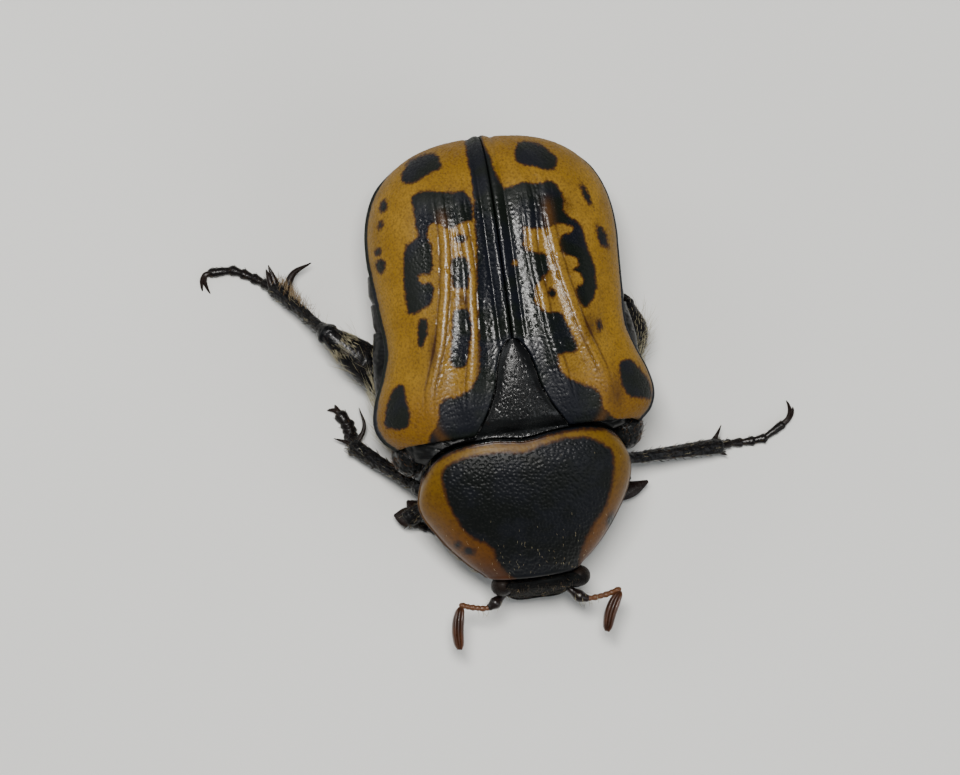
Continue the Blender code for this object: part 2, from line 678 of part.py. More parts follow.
def build_legs():
    """All six legs, each as a femur, a tibia and a tarsus with a socket for the next one."""
    made = {}
    for leg_name, leg in LEGS.items():
        kind = leg_name.split("_")[0]
        foot = tarsus("tarsus_" + leg_name, leg)
        shin = cut(tibia("tibia_" + leg_name, leg, kind), [foot_tube("room", leg, GAP)])
        thigh = cut(femur("femur_" + leg_name, leg, kind), tibia_pieces(leg, kind, GAP))
        made[leg_name] = (thigh, shin, foot)
    return made


def coxae(*places):
    """The knobs of a pair of legs, on both sides of the breast."""
    made = []
    for (x, y, z), size in places:
        made += [ball("coxa", (side * x, y, z), size, COXA_SEGMENTS) for side in (-1, 1)]
    return made


def femur_rooms(*kinds):
    """Room for the femora of some pairs of legs."""
    rooms = []
    for leg_name, leg in LEGS.items():
        kind = leg_name.split("_")[0]
        if kind in kinds:
            rooms.append(femur("room", leg, kind, GAP))
    return rooms


def tibia_rooms(*kinds):
    """Room for the tibiae of some pairs of legs."""
    rooms = []
    for leg_name, leg in LEGS.items():
        kind = leg_name.split("_")[0]
        if kind in kinds:
            rooms += tibia_pieces(leg, kind, GAP)
    return rooms


def wing_rooms():
    """Room for both wing cases."""
    return [elytron("room", -1, GAP), elytron("room", 1, GAP)]


def stalk(name, side, room=0.0):
    path = STALKS[side]
    return limb(name, path, [STALK_RADIUS + room] * len(path))


def club(name, side, room=0.0):
    radii = (CLUB_RADIUS, CLUB_RADIUS, CLUB_RADIUS * CLUB_TAPER)
    return limb(name, CLUBS[side], swollen(radii, room))


def build_feelers():
    made = []
    for side in STALKS:
        made.append(cut(stalk("antenna_stalk_" + side, side), [club("room", side, GAP)]))
        made.append(club("antenna_club_" + side, side))
    return made


def build_body():
    """The wing cases and the plates of the body, each cut clear of what lies against it."""
    wing_cases = [elytron("elytron_right", -1), elytron("elytron_left", 1)]
    eyes = [eye("eye_right", -1), eye("eye_left", 1)]
    face_rooms = [eye("room", -1, GAP), eye("room", 1, GAP)]
    face_rooms += [stalk("room", side, GAP) for side in STALKS]
    front = combine("pronotum", pronotum("pronotum"), coxae(FRONT_COXA), "UNION")
    shield = cut(front, femur_rooms("front", "middle") + tibia_rooms("front", "middle"))
    triangle = scutellum("scutellum")
    skull = cut(head("head"), face_rooms)
    breast_rooms = wing_rooms() + [scutellum("room", GAP)] + femur_rooms("middle", "hind")
    knobs = coxae(MIDDLE_COXA, HIND_COXA) + [ball("knob", *BREAST_KNOB, COXA_SEGMENTS)]
    breast = cut(combine("thorax", thorax("thorax"), knobs, "UNION"), breast_rooms)
    belly = cut(abdomen("abdomen"), wing_rooms() + femur_rooms("hind"))
    tail_plate = pygidium("pygidium")
    plates = [triangle, skull, breast, belly, tail_plate]
    return {"wing": wing_cases, "shield": [shield], "eye": eyes, "plate": plates}


def main():
    for thing in list(bpy.data.objects):
        bpy.data.objects.remove(thing)
    collection = bpy.data.collections.new(OBJECT_NAME)
    bpy.context.scene.collection.children.link(collection)
    frame = bpy.data.objects.new("beetle_frame", None)
    collection.objects.link(frame)
    pieces = []
    for kind, things in build_body().items():
        pieces += [(thing, kind, (0.0, 0.0, 0.0)) for thing in things]
    pieces += [(thing, "feeler", (0.0, 0.0, 0.0)) for thing in build_feelers()]
    for leg_name, limbs in build_legs().items():
        leg = LEGS[leg_name]
        for thing, pivot in zip(limbs, (leg["root"], leg["knee"], leg["ankle"])):
            pieces.append((thing, "leg", pivot))
    middle = box_middle([thing for thing, _, _ in pieces])
    for thing, kind, pivot in pieces:
        paint(thing, *FINISHES[kind])
        finish(thing, pivot, middle, collection, frame)


main()
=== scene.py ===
"""The scarab beetle's looks: fine shells with their marks and pits, legs, feelers and hair over the solids.

Shapes are worked out in millimetres in the beetle's own frame: X to its left, Y to its tail, Z up, the
ground at z = 0 and y = 0 at the hind margin of the pronotum. to_row() turns them into the row's metres.
"""
import math

import bpy
import numpy as np
from mathutils import Matrix, Vector


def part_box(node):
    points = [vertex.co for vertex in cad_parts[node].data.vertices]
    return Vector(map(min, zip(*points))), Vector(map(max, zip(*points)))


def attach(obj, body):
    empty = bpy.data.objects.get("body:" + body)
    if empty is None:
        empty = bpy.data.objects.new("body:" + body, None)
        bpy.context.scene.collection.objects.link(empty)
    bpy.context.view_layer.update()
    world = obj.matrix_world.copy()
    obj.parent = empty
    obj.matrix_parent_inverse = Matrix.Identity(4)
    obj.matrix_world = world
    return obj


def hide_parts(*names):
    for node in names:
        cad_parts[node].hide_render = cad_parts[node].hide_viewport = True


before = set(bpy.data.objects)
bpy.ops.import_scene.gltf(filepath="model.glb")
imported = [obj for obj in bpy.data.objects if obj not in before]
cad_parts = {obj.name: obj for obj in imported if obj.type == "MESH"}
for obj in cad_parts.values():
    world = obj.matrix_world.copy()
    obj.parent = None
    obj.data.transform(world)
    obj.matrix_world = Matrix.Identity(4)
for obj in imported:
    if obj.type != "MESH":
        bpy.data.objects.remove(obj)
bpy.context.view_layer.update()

MM = 0.001
SEED = 7
GROUND_SKIN = 0.01

# The part's own shapes, repeated here in millimetres
GAP = 0.1
ELYTRA_BASE = 0.15
ELYTRA_WIDTH = ((0.15, 2.7), (0.4, 2.96), (0.75, 3.08), (1.2, 3.0), (1.7, 2.8), (2.3, 2.64), (3.2, 2.68),
                (4.3, 2.75))
ELYTRA_CREST = ((0.15, 4.0), (0.4, 4.14), (1.2, 4.32), (2.2, 4.42), (3.2, 4.42), (4.3, 4.38))
ELYTRA_MARGIN = ((0.15, 2.85), (0.75, 2.75), (2.3, 2.98), (4.3, 2.65), (6.8, 2.6))
REAR_START, REAR_LENGTH, REAR_ROUNDNESS = 4.3, 2.49, 2.5
DISC_FLATNESS = 2.8
COSTAE = (((0.5, 0.36), (1.6, 0.34), (2.8, 0.305), (4.0, 0.262), (5.3, 0.29)),
          ((0.5, 0.64), (1.6, 0.635), (2.5, 0.575), (3.4, 0.49), (4.5, 0.43), (5.5, 0.45)))
COSTA_RISE, COSTA_SPREAD = 0.08, 0.075
SCUTELLUM_WIDTH = ((-0.3, 1.3), (0.1, 1.05), (0.6, 0.72), (1.1, 0.49), (1.5, 0.4), (1.8, 0.31),
                   (2.0, 0.2), (2.15, 0.07))
SCUTELLUM_TIP = 2.15
PRONOTUM_LENGTH = 3.0
PRONOTUM_WIDTH = ((0.0, 2.15), (0.05, 2.31), (0.12, 2.38), (0.25, 2.35), (0.4, 2.24), (0.55, 2.05),
                  (0.7, 1.79), (0.85, 1.43), (1.0, 1.0))
PRONOTUM_TOP = ((0.0, 4.04), (0.08, 4.06), (0.25, 3.99), (0.5, 3.66), (0.75, 3.14), (1.0, 2.5))
PRONOTUM_EDGE = ((0.0, 2.85), (0.3, 2.6), (0.7, 2.22), (1.0, 1.95))
PRONOTUM_FLOOR = ((0.0, 1.0), (0.3, 0.95), (0.7, 1.15), (1.0, 1.3))
PRONOTUM_FULLNESS, PRONOTUM_KEEL = 2.6, 1.7
MARGIN_BEAD = 0.03
HIND_MARGIN_BACK = 0.05
HIND_CORNER_DROP, HIND_CORNER_WIDTH, HIND_CORNER_SHARPNESS = 0.75, 2.37, 7.0
NOTCH_DEPTH, NOTCH_WIDTH = 0.09, 0.45
FRONT_LEAN = 0.33
BODY_WIDTH = ((-0.75, 2.15), (-0.4, 2.36), (0.0, 2.62), (0.4, 2.82), (0.8, 2.9), (1.5, 2.95), (2.2, 2.93),
              (2.7, 2.84), (3.2, 2.8), (3.8, 2.8), (4.8, 2.66), (5.5, 2.36), (6.1, 2.0))
BODY_BOTTOM = ((-0.75, 0.95), (0.5, 0.72), (2.0, 0.65), (3.0, 0.8), (4.5, 0.85), (5.6, 1.02), (6.1, 1.22))
BELLY_FULLNESS = 2.3
THORAX_END, THORAX_FADE, THORAX_FRONT = 2.8, 0.75, 0.55
LEDGE_STEP, LEDGE_WIDTH = 0.07, 0.15
COLLAR_STEP = 0.12
FLANK_DROP = 0.4
UNDER_SHELL = 0.27
ABDOMEN_START, ABDOMEN_END = 2.8, 6.06
SEGMENTS, SEGMENT_GROOVE = 5, 0.05
PYGIDIUM_END, PYGIDIUM_MIDDLE, PYGIDIUM_FULLNESS, PYGIDIUM_CLOSING = 6.66, 2.0, 2.3, 0.98
SOLID_HEAD_SHIFT = 0.12
EYE_PLACE, EYE_SIZE = (0.86, -3.06, 1.86), (0.27, 0.25, 0.34)
FRONT_COXA = ((0.55, -1.9, 1.08), (0.42, 0.4, 0.3))
MIDDLE_COXA = ((0.95, 0.68, 0.9), (0.5, 0.42, 0.32))
HIND_COXA = ((1.35, 1.5, 0.98), (1.2, 0.42, 0.4))
BREAST_KNOB = ((0.0, 0.35, 0.82), (0.3, 0.42, 0.26))
STALKS = {
    "right": ((-0.62, -3.22, 1.5), (-1.02, -3.48, 1.5), (-1.35, -3.45, 1.54), (-1.64, -3.36, 1.56)),
    "left": ((0.75, -3.25, 1.5), (1.1, -3.54, 1.5), (1.5, -3.55, 1.54), (1.9, -3.46, 1.56)),
}
CLUBS = {
    "right": ((-1.66, -3.42, 1.56), (-1.72, -3.9, 1.5), (-1.79, -4.3, 1.45)),
    "left": ((1.9, -3.52, 1.56), (1.7, -3.94, 1.5), (1.52, -4.32, 1.45)),
}
# Teeth and spurs: start, end and bow. "thick" widens a foot, "fur" is where pale hair grows on the thigh
LEGS = {
    "front_right": {
        "root": (-0.6, -1.75, 1.05), "knee": (-1.5, -0.8, 1.12), "ankle": (-2.46, -1.24, 0.5),
        "tarsus": ((-2.3, -1.36), (-1.95, -1.5), (-1.6, -1.66), (-1.25, -1.85)),
        "claws": ((-0.9, -1.92), (-1.0, -2.15)),
        "teeth": (((-2.2, -1.12, 0.55), (-2.42, -0.85, 0.5), 0.0),
                  ((-2.46, -1.2, 0.48), (-2.74, -1.12, 0.42), 0.0)),
    },
    "front_left": {
        "root": (0.6, -1.75, 1.05), "knee": (1.5, -0.75, 1.12), "ankle": (2.2, -1.3, 0.5),
        "tarsus": ((2.0, -1.42), (1.66, -1.58), (1.32, -1.76), (1.0, -1.98)),
        "claws": ((0.64, -2.08), (0.74, -2.3)),
        "teeth": (((2.1, -1.06, 0.55), (2.6, -0.96, 0.5), 0.0), ((2.2, -1.24, 0.5), (2.97, -1.1, 0.5), 0.05)),
    },
    "middle_right": {
        "root": (-1.0, 0.75, 0.85), "knee": (-2.12, -0.72, 1.4), "ankle": (-3.42, 0.5, 0.45),
        "tarsus": ((-3.44, 0.72), (-3.46, 0.92), (-3.51, 1.1), (-3.6, 1.25)), "thick": 1.55,
        "claws": ((-3.88, 1.42), (-3.7, 1.52)),
        "teeth": (((-3.4, 0.48, 0.42), (-3.84, 0.76, 0.3), 0.03),
                  ((-3.36, 0.56, 0.42), (-3.2, 1.36, 0.35), 0.14),
                  ((-2.9, 0.05, 0.8), (-3.14, -0.04, 0.75), 0.0)),
    },
    "middle_left": {
        "root": (1.0, 0.75, 0.85), "knee": (2.3, -0.6, 1.4), "ankle": (4.66, -0.52, 0.45),
        "tarsus": ((4.95, -0.47), (5.42, -0.48), (5.86, -0.42), (6.2, -0.2)),
        "claws": ((6.38, 0.32), (6.5, 0.16)),
        "teeth": (((4.45, -0.48, 0.45), (4.79, -0.06, 0.42), 0.03),
                  ((4.6, -0.6, 0.42), (4.84, -0.74, 0.36), 0.0)),
    },
    "hind_right": {
        "root": (-1.9, 1.2, 0.95), "knee": (-3.72, 2.95, 1.5), "ankle": (-4.72, 4.24, 0.48),
        "tarsus": ((-4.98, 4.45), (-5.32, 4.67), (-5.7, 4.83), (-6.06, 4.8)),
        "claws": ((-6.14, 4.36), (-6.3, 4.44)),
        "teeth": (((-4.5, 4.12, 0.55), (-3.86, 4.7, 0.5), -0.14),
                  ((-4.66, 4.18, 0.5), (-4.8, 4.76, 0.55), 0.0),
                  ((-4.76, 4.2, 0.5), (-4.86, 4.68, 0.5), 0.0)),
        "thick": 1.12, "fur": (0.88, 0.05, 330),
    },
    "hind_left": {
        "root": (2.3, 1.15, 1.0), "knee": (3.0, 2.85, 1.5), "ankle": (2.5, 4.1, 0.48),
        "tarsus": ((2.42, 4.34), (2.3, 4.74), (2.2, 5.14), (2.05, 5.5)),
        "claws": ((1.78, 5.76), (2.08, 5.84)),
        "teeth": (((2.5, 4.05, 0.45), (2.72, 4.5, 0.35), 0.03), ((2.44, 4.05, 0.45), (2.1, 4.42, 0.35), 0.03),
                  ((2.76, 3.45, 0.95), (2.97, 3.62, 0.85), 0.0)),
        "thigh": ((0.26, 0.22), (0.5, 0.32), (0.5, 0.32), (0.1, 0.12)), "bow": (0.07, 0.0, 0.1), "cap": 0.3,
        "shin_start": (2.84, 2.72, 1.4), "fur": (0.6, 0.35, 480),
    },
}

# The head's skin, a little wider than its solid: height, half width, front and back
HEAD_SHIFT = 0.16
HEAD_LEVELS = ((2.36, 0.62, -3.12, -3.06), (2.22, 0.8, -3.21, -3.01), (1.95, 0.9, -3.28, -2.92),
               (1.65, 0.9, -3.32, -2.82), (1.42, 0.86, -3.33, -2.75), (1.18, 0.82, -3.32, -2.72),
               (0.98, 0.78, -3.31, -2.86), (0.84, 0.73, -3.31, -3.06))
HEAD_ROUNDNESS = 3.0

# The row's origin in the beetle's own frame: the eye's solid is a ball round EYE_PLACE
low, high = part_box("eye_left")
MIDDLE = np.array(EYE_PLACE) + (SOLID_HEAD_SHIFT, 0.0, 0.0) - np.array((low + high) / 2) / MM

# The photograph's view: where the camera aims in the beetle's own frame, how it leans and turns
IMAGE_WIDTH, IMAGE_HEIGHT = 960, 775
SENSOR_WIDTH = 36.0
FOCAL_PIXELS = 9100.0
VIEW_DISTANCE = 200.55
VIEW_TARGET = np.array((0.0, 1.5, 3.0))
VIEW_LEAN_RIGHT, VIEW_LEAN_FRONT, VIEW_ROLL = (math.radians(turn) for turn in (5.51, 4.195, -7.72))
VIEW_SLIDE = (-0.671, -0.309)


def view_axes():
    """The view's right, up and backward directions."""
    back = unit(np.array((-math.sin(VIEW_LEAN_RIGHT), -math.sin(VIEW_LEAN_FRONT), 1.0)))
    level = unit(np.cross(-back, (0.0, 1.0, 0.0)))
    raised = np.cross(level, -back)
    right = math.cos(VIEW_ROLL) * level + math.sin(VIEW_ROLL) * raised
    up = -math.sin(VIEW_ROLL) * level + math.cos(VIEW_ROLL) * raised
    return right, up, back


def photo_pixels(points):
    """Where points in the beetle's own frame lie in the photograph."""
    offset = points - VIEW_PLACE
    depth = -(offset @ VIEW_BACK)
    across = IMAGE_WIDTH / 2 + FOCAL_PIXELS * (offset @ VIEW_RIGHT) / depth
    down = IMAGE_HEIGHT / 2 - FOCAL_PIXELS * (offset @ VIEW_UP) / depth
    return np.stack([across, down], axis=-1)


# Curves, noise and pits

def unit(vectors):
    """Vectors of length 1."""
    return vectors / np.maximum(np.linalg.norm(vectors, axis=-1, keepdims=True), 1e-12)


def xyz(x, y, z):
    """Points from their three coordinates."""
    return np.stack(np.broadcast_arrays(x, y, z), axis=-1)


def lengths(line):
    """How far along a line each of its points lies."""
    return np.concatenate([[0.0], np.cumsum(np.linalg.norm(np.diff(line, axis=0), axis=1))])


def smooth(stations, at):
    """Reads a smooth curve through a few (place, value) stations at many places."""
    places, values = np.array(stations, float).T
    last = len(places) - 1
    at = np.clip(at, places[0], places[-1])
    index = np.clip(np.searchsorted(places, at, side="right") - 1, 0, last - 1)
    before, after = np.maximum(np.arange(last + 1) - 1, 0), np.minimum(np.arange(last + 1) + 1, last)
    slopes = (values[after] - values[before]) / (places[after] - places[before])
    step = places[index + 1] - places[index]
    t = (at - places[index]) / step
    return (values[index] * (2 * t ** 3 - 3 * t ** 2 + 1) + values[index + 1] * (3 * t ** 2 - 2 * t ** 3)
            + slopes[index] * step * (t ** 3 - 2 * t ** 2 + t) + slopes[index + 1] * step * (t ** 3 - t ** 2))


def curve(points, count):
    """A smooth path through a few points."""
    at = np.linspace(0.0, len(points) - 1.0, count)
    return np.stack([smooth(list(enumerate(column)), at) for column in np.array(points, float).T], axis=-1)


def along(line, places):
    """Points at some lengths along a line."""
    return np.stack([np.interp(places, lengths(line), column) for column in line.T], axis=-1)


def dome(fraction, fullness):
    """A rounded fall from 1 in the middle to 0 at the edge; a larger fullness is flatter on top."""
    return np.maximum(0.0, 1.0 - np.abs(fraction) ** fullness) ** (1.0 / fullness)


def bell(distance, spread):
    return np.exp(-(distance / spread) ** 2)


def ramp(value, start, end):
    """A soft step from 0 at one value to 1 at another."""
    t = np.clip((value - start) / (end - start), 0.0, 1.0)
    return t * t * (3 - 2 * t)


def power(wave, exponent):
    """A wave's values raised to a power, with their signs kept."""
    return np.sign(wave) * np.abs(wave) ** exponent


def noise(points, size, seed):
    """Smooth random values from -1 to 1 at points, with lumps of one size."""
    table = np.random.default_rng(seed).uniform(-1.0, 1.0, (32, 32, 32))
    scaled = points / size
    cell = np.floor(scaled).astype(int)
    part = scaled - cell
    part = part * part * (3 - 2 * part)
    total = 0.0
    for corner in np.ndindex(2, 2, 2):
        weight = np.prod(np.where(np.array(corner) == 1, part, 1 - part), axis=-1)
        place = (cell + corner) % 32
        total = total + weight * table[place[..., 0], place[..., 1], place[..., 2]]
    return total


def pits(across, along, spacing, size, seed, jitter=0.8, kept=1.0, crescent=0.0):
    """How deep a field of scattered pits is, from 0 to 1, at places on a surface. spacing and size each give
    a value across and one along; a crescent pit is steep at its front and shallow at its back."""
    table = np.random.default_rng(seed).random((64, 64, 4))
    a, b = across / spacing[0], along / spacing[1]
    column, row = np.floor(a).astype(int), np.floor(b).astype(int)
    deepest = np.zeros(np.broadcast(a, b).shape)
    for step in np.ndindex(3, 3):
        near_column, near_row = column + step[0] - 1, row + step[1] - 1
        draw = table[near_column % 64, near_row % 64]
        x = (a - near_column - 0.5 - (draw[..., 0] - 0.5) * jitter) * spacing[0]
        y = (b - near_row - 0.5 - (draw[..., 1] - 0.5) * jitter) * spacing[1]
        scale = 0.75 + 0.5 * draw[..., 2]
        pit = np.clip(1.0 - (x / (size[0] * scale)) ** 2 - (y / (size[1] * scale)) ** 2, 0.0, 1.0)
        pit = pit * (draw[..., 3] < kept) * (1.0 - crescent * np.clip(0.5 + y / (2 * size[1]), 0.0, 1.0))
        deepest = np.maximum(deepest, pit)
    return deepest


def signed_distance(outline, at):
    """How far inside (above 0) or outside (below 0) a closed outline places are."""
    nearest = np.full(len(at), 1e9)
    inside = np.zeros(len(at), bool)
    for start, end in zip(outline, np.roll(outline, -1, axis=0)):
        edge = end - start
        t = np.clip(((at - start) @ edge) / (edge @ edge), 0.0, 1.0)
        nearest = np.minimum(nearest, np.linalg.norm(at - start - t[:, None] * edge, axis=1))
        if start[1] != end[1]:
            crosses = (start[1] > at[:, 1]) != (end[1] > at[:, 1])
            x = start[0] + (at[:, 1] - start[1]) / (end[1] - start[1]) * edge[0]
            inside ^= crosses & (at[:, 0] < x)
    return np.where(inside, nearest, -nearest)


def spot_distance(spot, at):
    """The same for an oval spot of middle, half width, half height and turn."""
    x, y, half_width, half_height, turn = spot
    c, s = math.cos(math.radians(turn)), math.sin(math.radians(turn))
    across = (at[:, 0] - x) * c + (at[:, 1] - y) * s
    down = (at[:, 1] - y) * c - (at[:, 0] - x) * s
    return (1.0 - np.hypot(across / half_width, down / half_height)) * min(half_width, half_height)


VIEW_RIGHT, VIEW_UP, VIEW_BACK = view_axes()
VIEW_PLACE = VIEW_TARGET + VIEW_BACK * VIEW_DISTANCE + VIEW_RIGHT * VIEW_SLIDE[0] + VIEW_UP * VIEW_SLIDE[1]


# Surfaces of the wing cases and the body

def rear_fraction(y):
    return np.clip((y - REAR_START) / REAR_LENGTH, 0.0, 1.0)


def elytra_width(y):
    return smooth(ELYTRA_WIDTH, y) * dome(rear_fraction(y), REAR_ROUNDNESS)


def elytra_margin(y):
    return smooth(ELYTRA_MARGIN, y)


def elytra_crest(y):
    margin = elytra_margin(y)
    return margin + (smooth(ELYTRA_CREST, y) - margin) * dome(rear_fraction(y), REAR_ROUNDNESS)


def costa_height(fraction, y):
    """How far the long ribs of a wing case stand out, fading out at both ends."""
    fade = np.clip((y - ELYTRA_BASE) / 0.6, 0.0, 1.0) * dome(rear_fraction(y), 1.5)
    return COSTA_RISE * fade * sum(bell(fraction - smooth(costa, y), COSTA_SPREAD) for costa in COSTAE)


def rib_place(fraction, y):
    """How far out a place lies, counted in ribs: 0 at the suture, 1 and 2 on the ribs, 3 at the side."""
    first, second = (smooth(costa, y) for costa in COSTAE)
    return np.where(fraction < first, fraction / first, np.where(
        fraction < second, 1 + (fraction - first) / (second - first), 2 + (fraction - second) / (1 - second)))


def from_rib(rib, x, y):
    """How far out of a rib a place lies."""
    return x - smooth(COSTAE[rib], y) * elytra_width(y)


def elytra_height(x, y):
    """Height of the wing cases' outer surface."""
    fraction = np.minimum(1.0, np.abs(x) / np.maximum(elytra_width(y), 1e-6))
    margin = elytra_margin(y)
    return margin + (elytra_crest(y) - margin) * dome(fraction, DISC_FLATNESS) + costa_height(fraction, y)


def hind_margin(x):
    """Y of the pronotum's hind margin, with round corners and a notch before the scutellum. The shield is
    turned a little, so its left side lies further back than its right side."""
    corner = HIND_CORNER_DROP * np.minimum(1.0, np.abs(x) / HIND_CORNER_WIDTH) ** HIND_CORNER_SHARPNESS
    corner = corner * (1 - 0.3 * ramp(x, 0.5, 2.0))
    turned = 0.06 * ramp(x, 0.3, 1.6) - 0.07 * ramp(-x, 0.5, 2.0)
    return HIND_MARGIN_BACK - corner + turned - NOTCH_DEPTH * bell(x, NOTCH_WIDTH)


def neck_plane(z):
    return -PRONOTUM_LENGTH + FRONT_LEAN * (PRONOTUM_TOP[-1][1] - z)


# Meshes

def on_ground(points):
    """Points with those under the ground pressed flat just over it."""
    x, y, z = np.moveaxis(points, -1, 0)
    pressed = GROUND_SKIN * np.exp(np.minimum(z / GROUND_SKIN - 1.0, 0.0))
    return xyz(x, y, np.where(z < GROUND_SKIN, pressed, z))


def make_object(name, points, corners, sizes, values, material, unwrap=None):
    """Makes an object in the row's metres from points, the corners of all its faces in one row, each face's
    number of corners, named values of the points and, for a coat, each corner's place on the unwrap."""
    mesh = bpy.data.meshes.new(name)
    mesh.vertices.add(len(points))
    mesh.vertices.foreach_set("co", ((on_ground(points) - MIDDLE) * MM).ravel())
    mesh.loops.add(len(corners))
    mesh.loops.foreach_set("vertex_index", corners)
    mesh.polygons.add(len(sizes))
    mesh.polygons.foreach_set("loop_start", np.concatenate([[0], np.cumsum(sizes)[:-1]]))
    if unwrap is not None:
        mesh.uv_layers.new(name="OFBake").data.foreach_set("uv", unwrap.ravel())
    for key, column in values.items():
        mesh.attributes.new(key, "FLOAT", "POINT").data.foreach_set("value", column)
    mesh.update(calc_edges=True)
    mesh.validate()
    mesh.shade_smooth()
    mesh.materials.append(material)
    made = bpy.data.objects.new(name, mesh)
    bpy.context.scene.collection.objects.link(made)
    return made


class Shape:
    """Points, faces and named values for each point, gathered into one mesh."""

    def __init__(self):
        self.points, self.faces, self.values, self.count = [], [], [], 0

    def add(self, grid, **values):
        """Adds a closed surface of rings of points, turned so that its faces point out."""
        faces = ring_faces(*grid.shape[:2])
        points = grid.reshape(-1, 3)
        volume = 0.0
        for group in faces:
            corners = points[group] - points[0]
            for i in range(1, group.shape[1] - 1):
                volume += np.einsum("ij,ij->", np.cross(corners[:, 0], corners[:, i]), corners[:, i + 1])
        if volume < 0:
            faces = [group[:, ::-1] for group in faces]
        self.faces += [group + self.count for group in faces]
        self.points.append(points)
        self.values.append({key: np.broadcast_to(np.ravel(value), len(points))
                            for key, value in values.items()})
        self.count += len(points)
        return self

    def build(self, name, material):
        corners = np.concatenate([group.ravel() for group in self.faces])
        sizes = np.concatenate([np.full(len(group), group.shape[1]) for group in self.faces])
        columns = {key: np.concatenate([values.get(key, np.zeros(len(points))) for values, points in
                                        zip(self.values, self.points)])
                   for key in sorted({key for values in self.values for key in values})}
        return make_object(name, np.concatenate(self.points), corners, sizes, columns, material)


def ring_faces(rows, columns):
    """Quads between rings of points, and a face over each end."""
    index = np.arange(rows * columns).reshape(rows, columns)
    turned = np.roll(index, -1, axis=1)
    quads = np.stack([index[:-1], index[1:], turned[1:], turned[:-1]], axis=-1).reshape(-1, 4)
    return [quads, index[:1], index[-1:, ::-1]]


def normals_of(grid):
    """Unit normals of a grid of points."""
    return unit(np.cross(np.gradient(grid, axis=0), np.gradient(grid, axis=1)))


def upward(grid):
    """Unit normals of a grid of points, pointing up."""
    normal = normals_of(grid)
    return normal * np.sign(normal[..., 2].mean())


def outward(grid):
    """Unit normals of a closed skin made of rings, pointing out of it."""
    across = np.roll(grid, -1, axis=1) - np.roll(grid, 1, axis=1)
    normal = unit(np.cross(np.gradient(grid, axis=0), across))
    return normal * np.sign(np.einsum("ijk,ijk->", normal, grid - grid.mean(axis=1, keepdims=True)))


def even_places(line, count, share=1.0):
    """First coordinates of points that are even along a share of a line."""
    length = lengths(line)
    return np.interp(np.linspace(0.0, length[-1] * share, count), length, line[:, 0])


def tube(path, sizes, sides=20, steps=24, up=(0.0, 0.0, 1.0), relief=None):
    """A limb along a smooth path with round ends. sizes holds its half width and half height at each point
    of the path, and relief works out how far its skin stands out at (angle, length along it, point)."""
    centre = curve(path, steps)
    half = curve([size if isinstance(size, tuple) else (size, size) for size in sizes], steps)
    tangent = unit(np.gradient(centre, axis=0))
    turns = np.linspace(0.08, 0.5, 6)[:-1, None] * math.pi
    (start, thin), (end, thin_end) = (
        (centre[i] + way * tangent[i] * half[i].min() * np.cos(turns), half[i] * np.sin(turns))
        for i, way in ((0, -1), (-1, 1)))
    centre = np.concatenate([start, centre, end[::-1]])
    half = np.concatenate([thin, half, thin_end[::-1]])
    tangent = np.concatenate([np.repeat(tangent[:1], len(start), 0), tangent,
                              np.repeat(tangent[-1:], len(end), 0)])
    side = unit(np.cross(tangent, up))
    top = np.cross(side, tangent)
    angle = np.linspace(0.0, 2 * math.pi, sides, endpoint=False)
    out = (side[:, None] * (np.cos(angle)[None, :, None] * half[:, None, :1])
           + top[:, None] * (np.sin(angle)[None, :, None] * half[:, None, 1:]))
    grid = centre[:, None] + out
    if relief is not None:
        grid = grid + unit(out) * relief(angle[None, :], lengths(centre)[:, None], grid)[..., None]
    return grid


def ball(place, size, sides=48, relief=None):
    """A rounded lump of three half axes."""
    polar = np.linspace(0.02, 0.98, sides // 2)[:, None] * math.pi
    angle = np.linspace(0.0, 2 * math.pi, sides, endpoint=False)[None]
    direction = xyz(np.sin(polar) * np.cos(angle), np.sin(polar) * np.sin(angle), np.cos(polar))
    grid = direction * size
    if relief is not None:
        grid = grid + direction * relief(angle, polar, grid + place)[..., None]
    return grid + place


# Materials

OCHRE = (0.215, 0.113, 0.004)
OCHRE_PALE = (0.27, 0.147, 0.009)
OCHRE_DEEP = (0.175, 0.082, 0.002)
# A paler grey ochre: painted sheen standing in for the haze of light on the glossy middle of the wing cases
OCHRE_PAINTED_SHEEN = (0.20, 0.125, 0.035)
SHIELD_OCHRE = (0.14, 0.074, 0.004)
SHIELD_BROWN = (0.10, 0.036, 0.003)
SHIELD_RUST = (0.05, 0.015, 0.005)
SHIELD_BLACKS = ((0.003, 0.004, 0.0035), (0.005, 0.006, 0.008))
RIM_BROWN = (0.04, 0.014, 0.003)
VEIL_BROWN = (0.07, 0.03, 0.006)
WING_BLACKS = ((0.004, 0.006, 0.004), (0.0045, 0.0055, 0.009))
PLATE_BLACKS, PLATE_RUST = ((0.003, 0.0032, 0.0034), (0.007, 0.0078, 0.0078)), (0.022, 0.009, 0.004)
LEG_BLACKS, LEG_RUST = ((0.003, 0.003, 0.0035), (0.008, 0.0075, 0.0075)), (0.02, 0.008, 0.005)
LEG_BROWN = (0.03, 0.012, 0.006)
EYE_BLACKS = ((0.004, 0.003, 0.003), (0.012, 0.008, 0.006))
FEELER_REDS = ((0.035, 0.012, 0.005), (0.07, 0.024, 0.009))
FEELER_PALE, FEELER_DARK, FEELER_STREAK = (0.11, 0.045, 0.018), (0.006, 0.004, 0.004), (0.016, 0.005, 0.003)
HAIR_PALE, HAIR_ORANGE, HAIR_DARK = (0.42, 0.38, 0.24), (0.20, 0.09, 0.03), (0.012, 0.009, 0.007)
HAIR_SHADE = (0.16, 0.13, 0.08)
FLOOR_GREYS = ((0.76, 0.76, 0.73), (0.80, 0.80, 0.77))


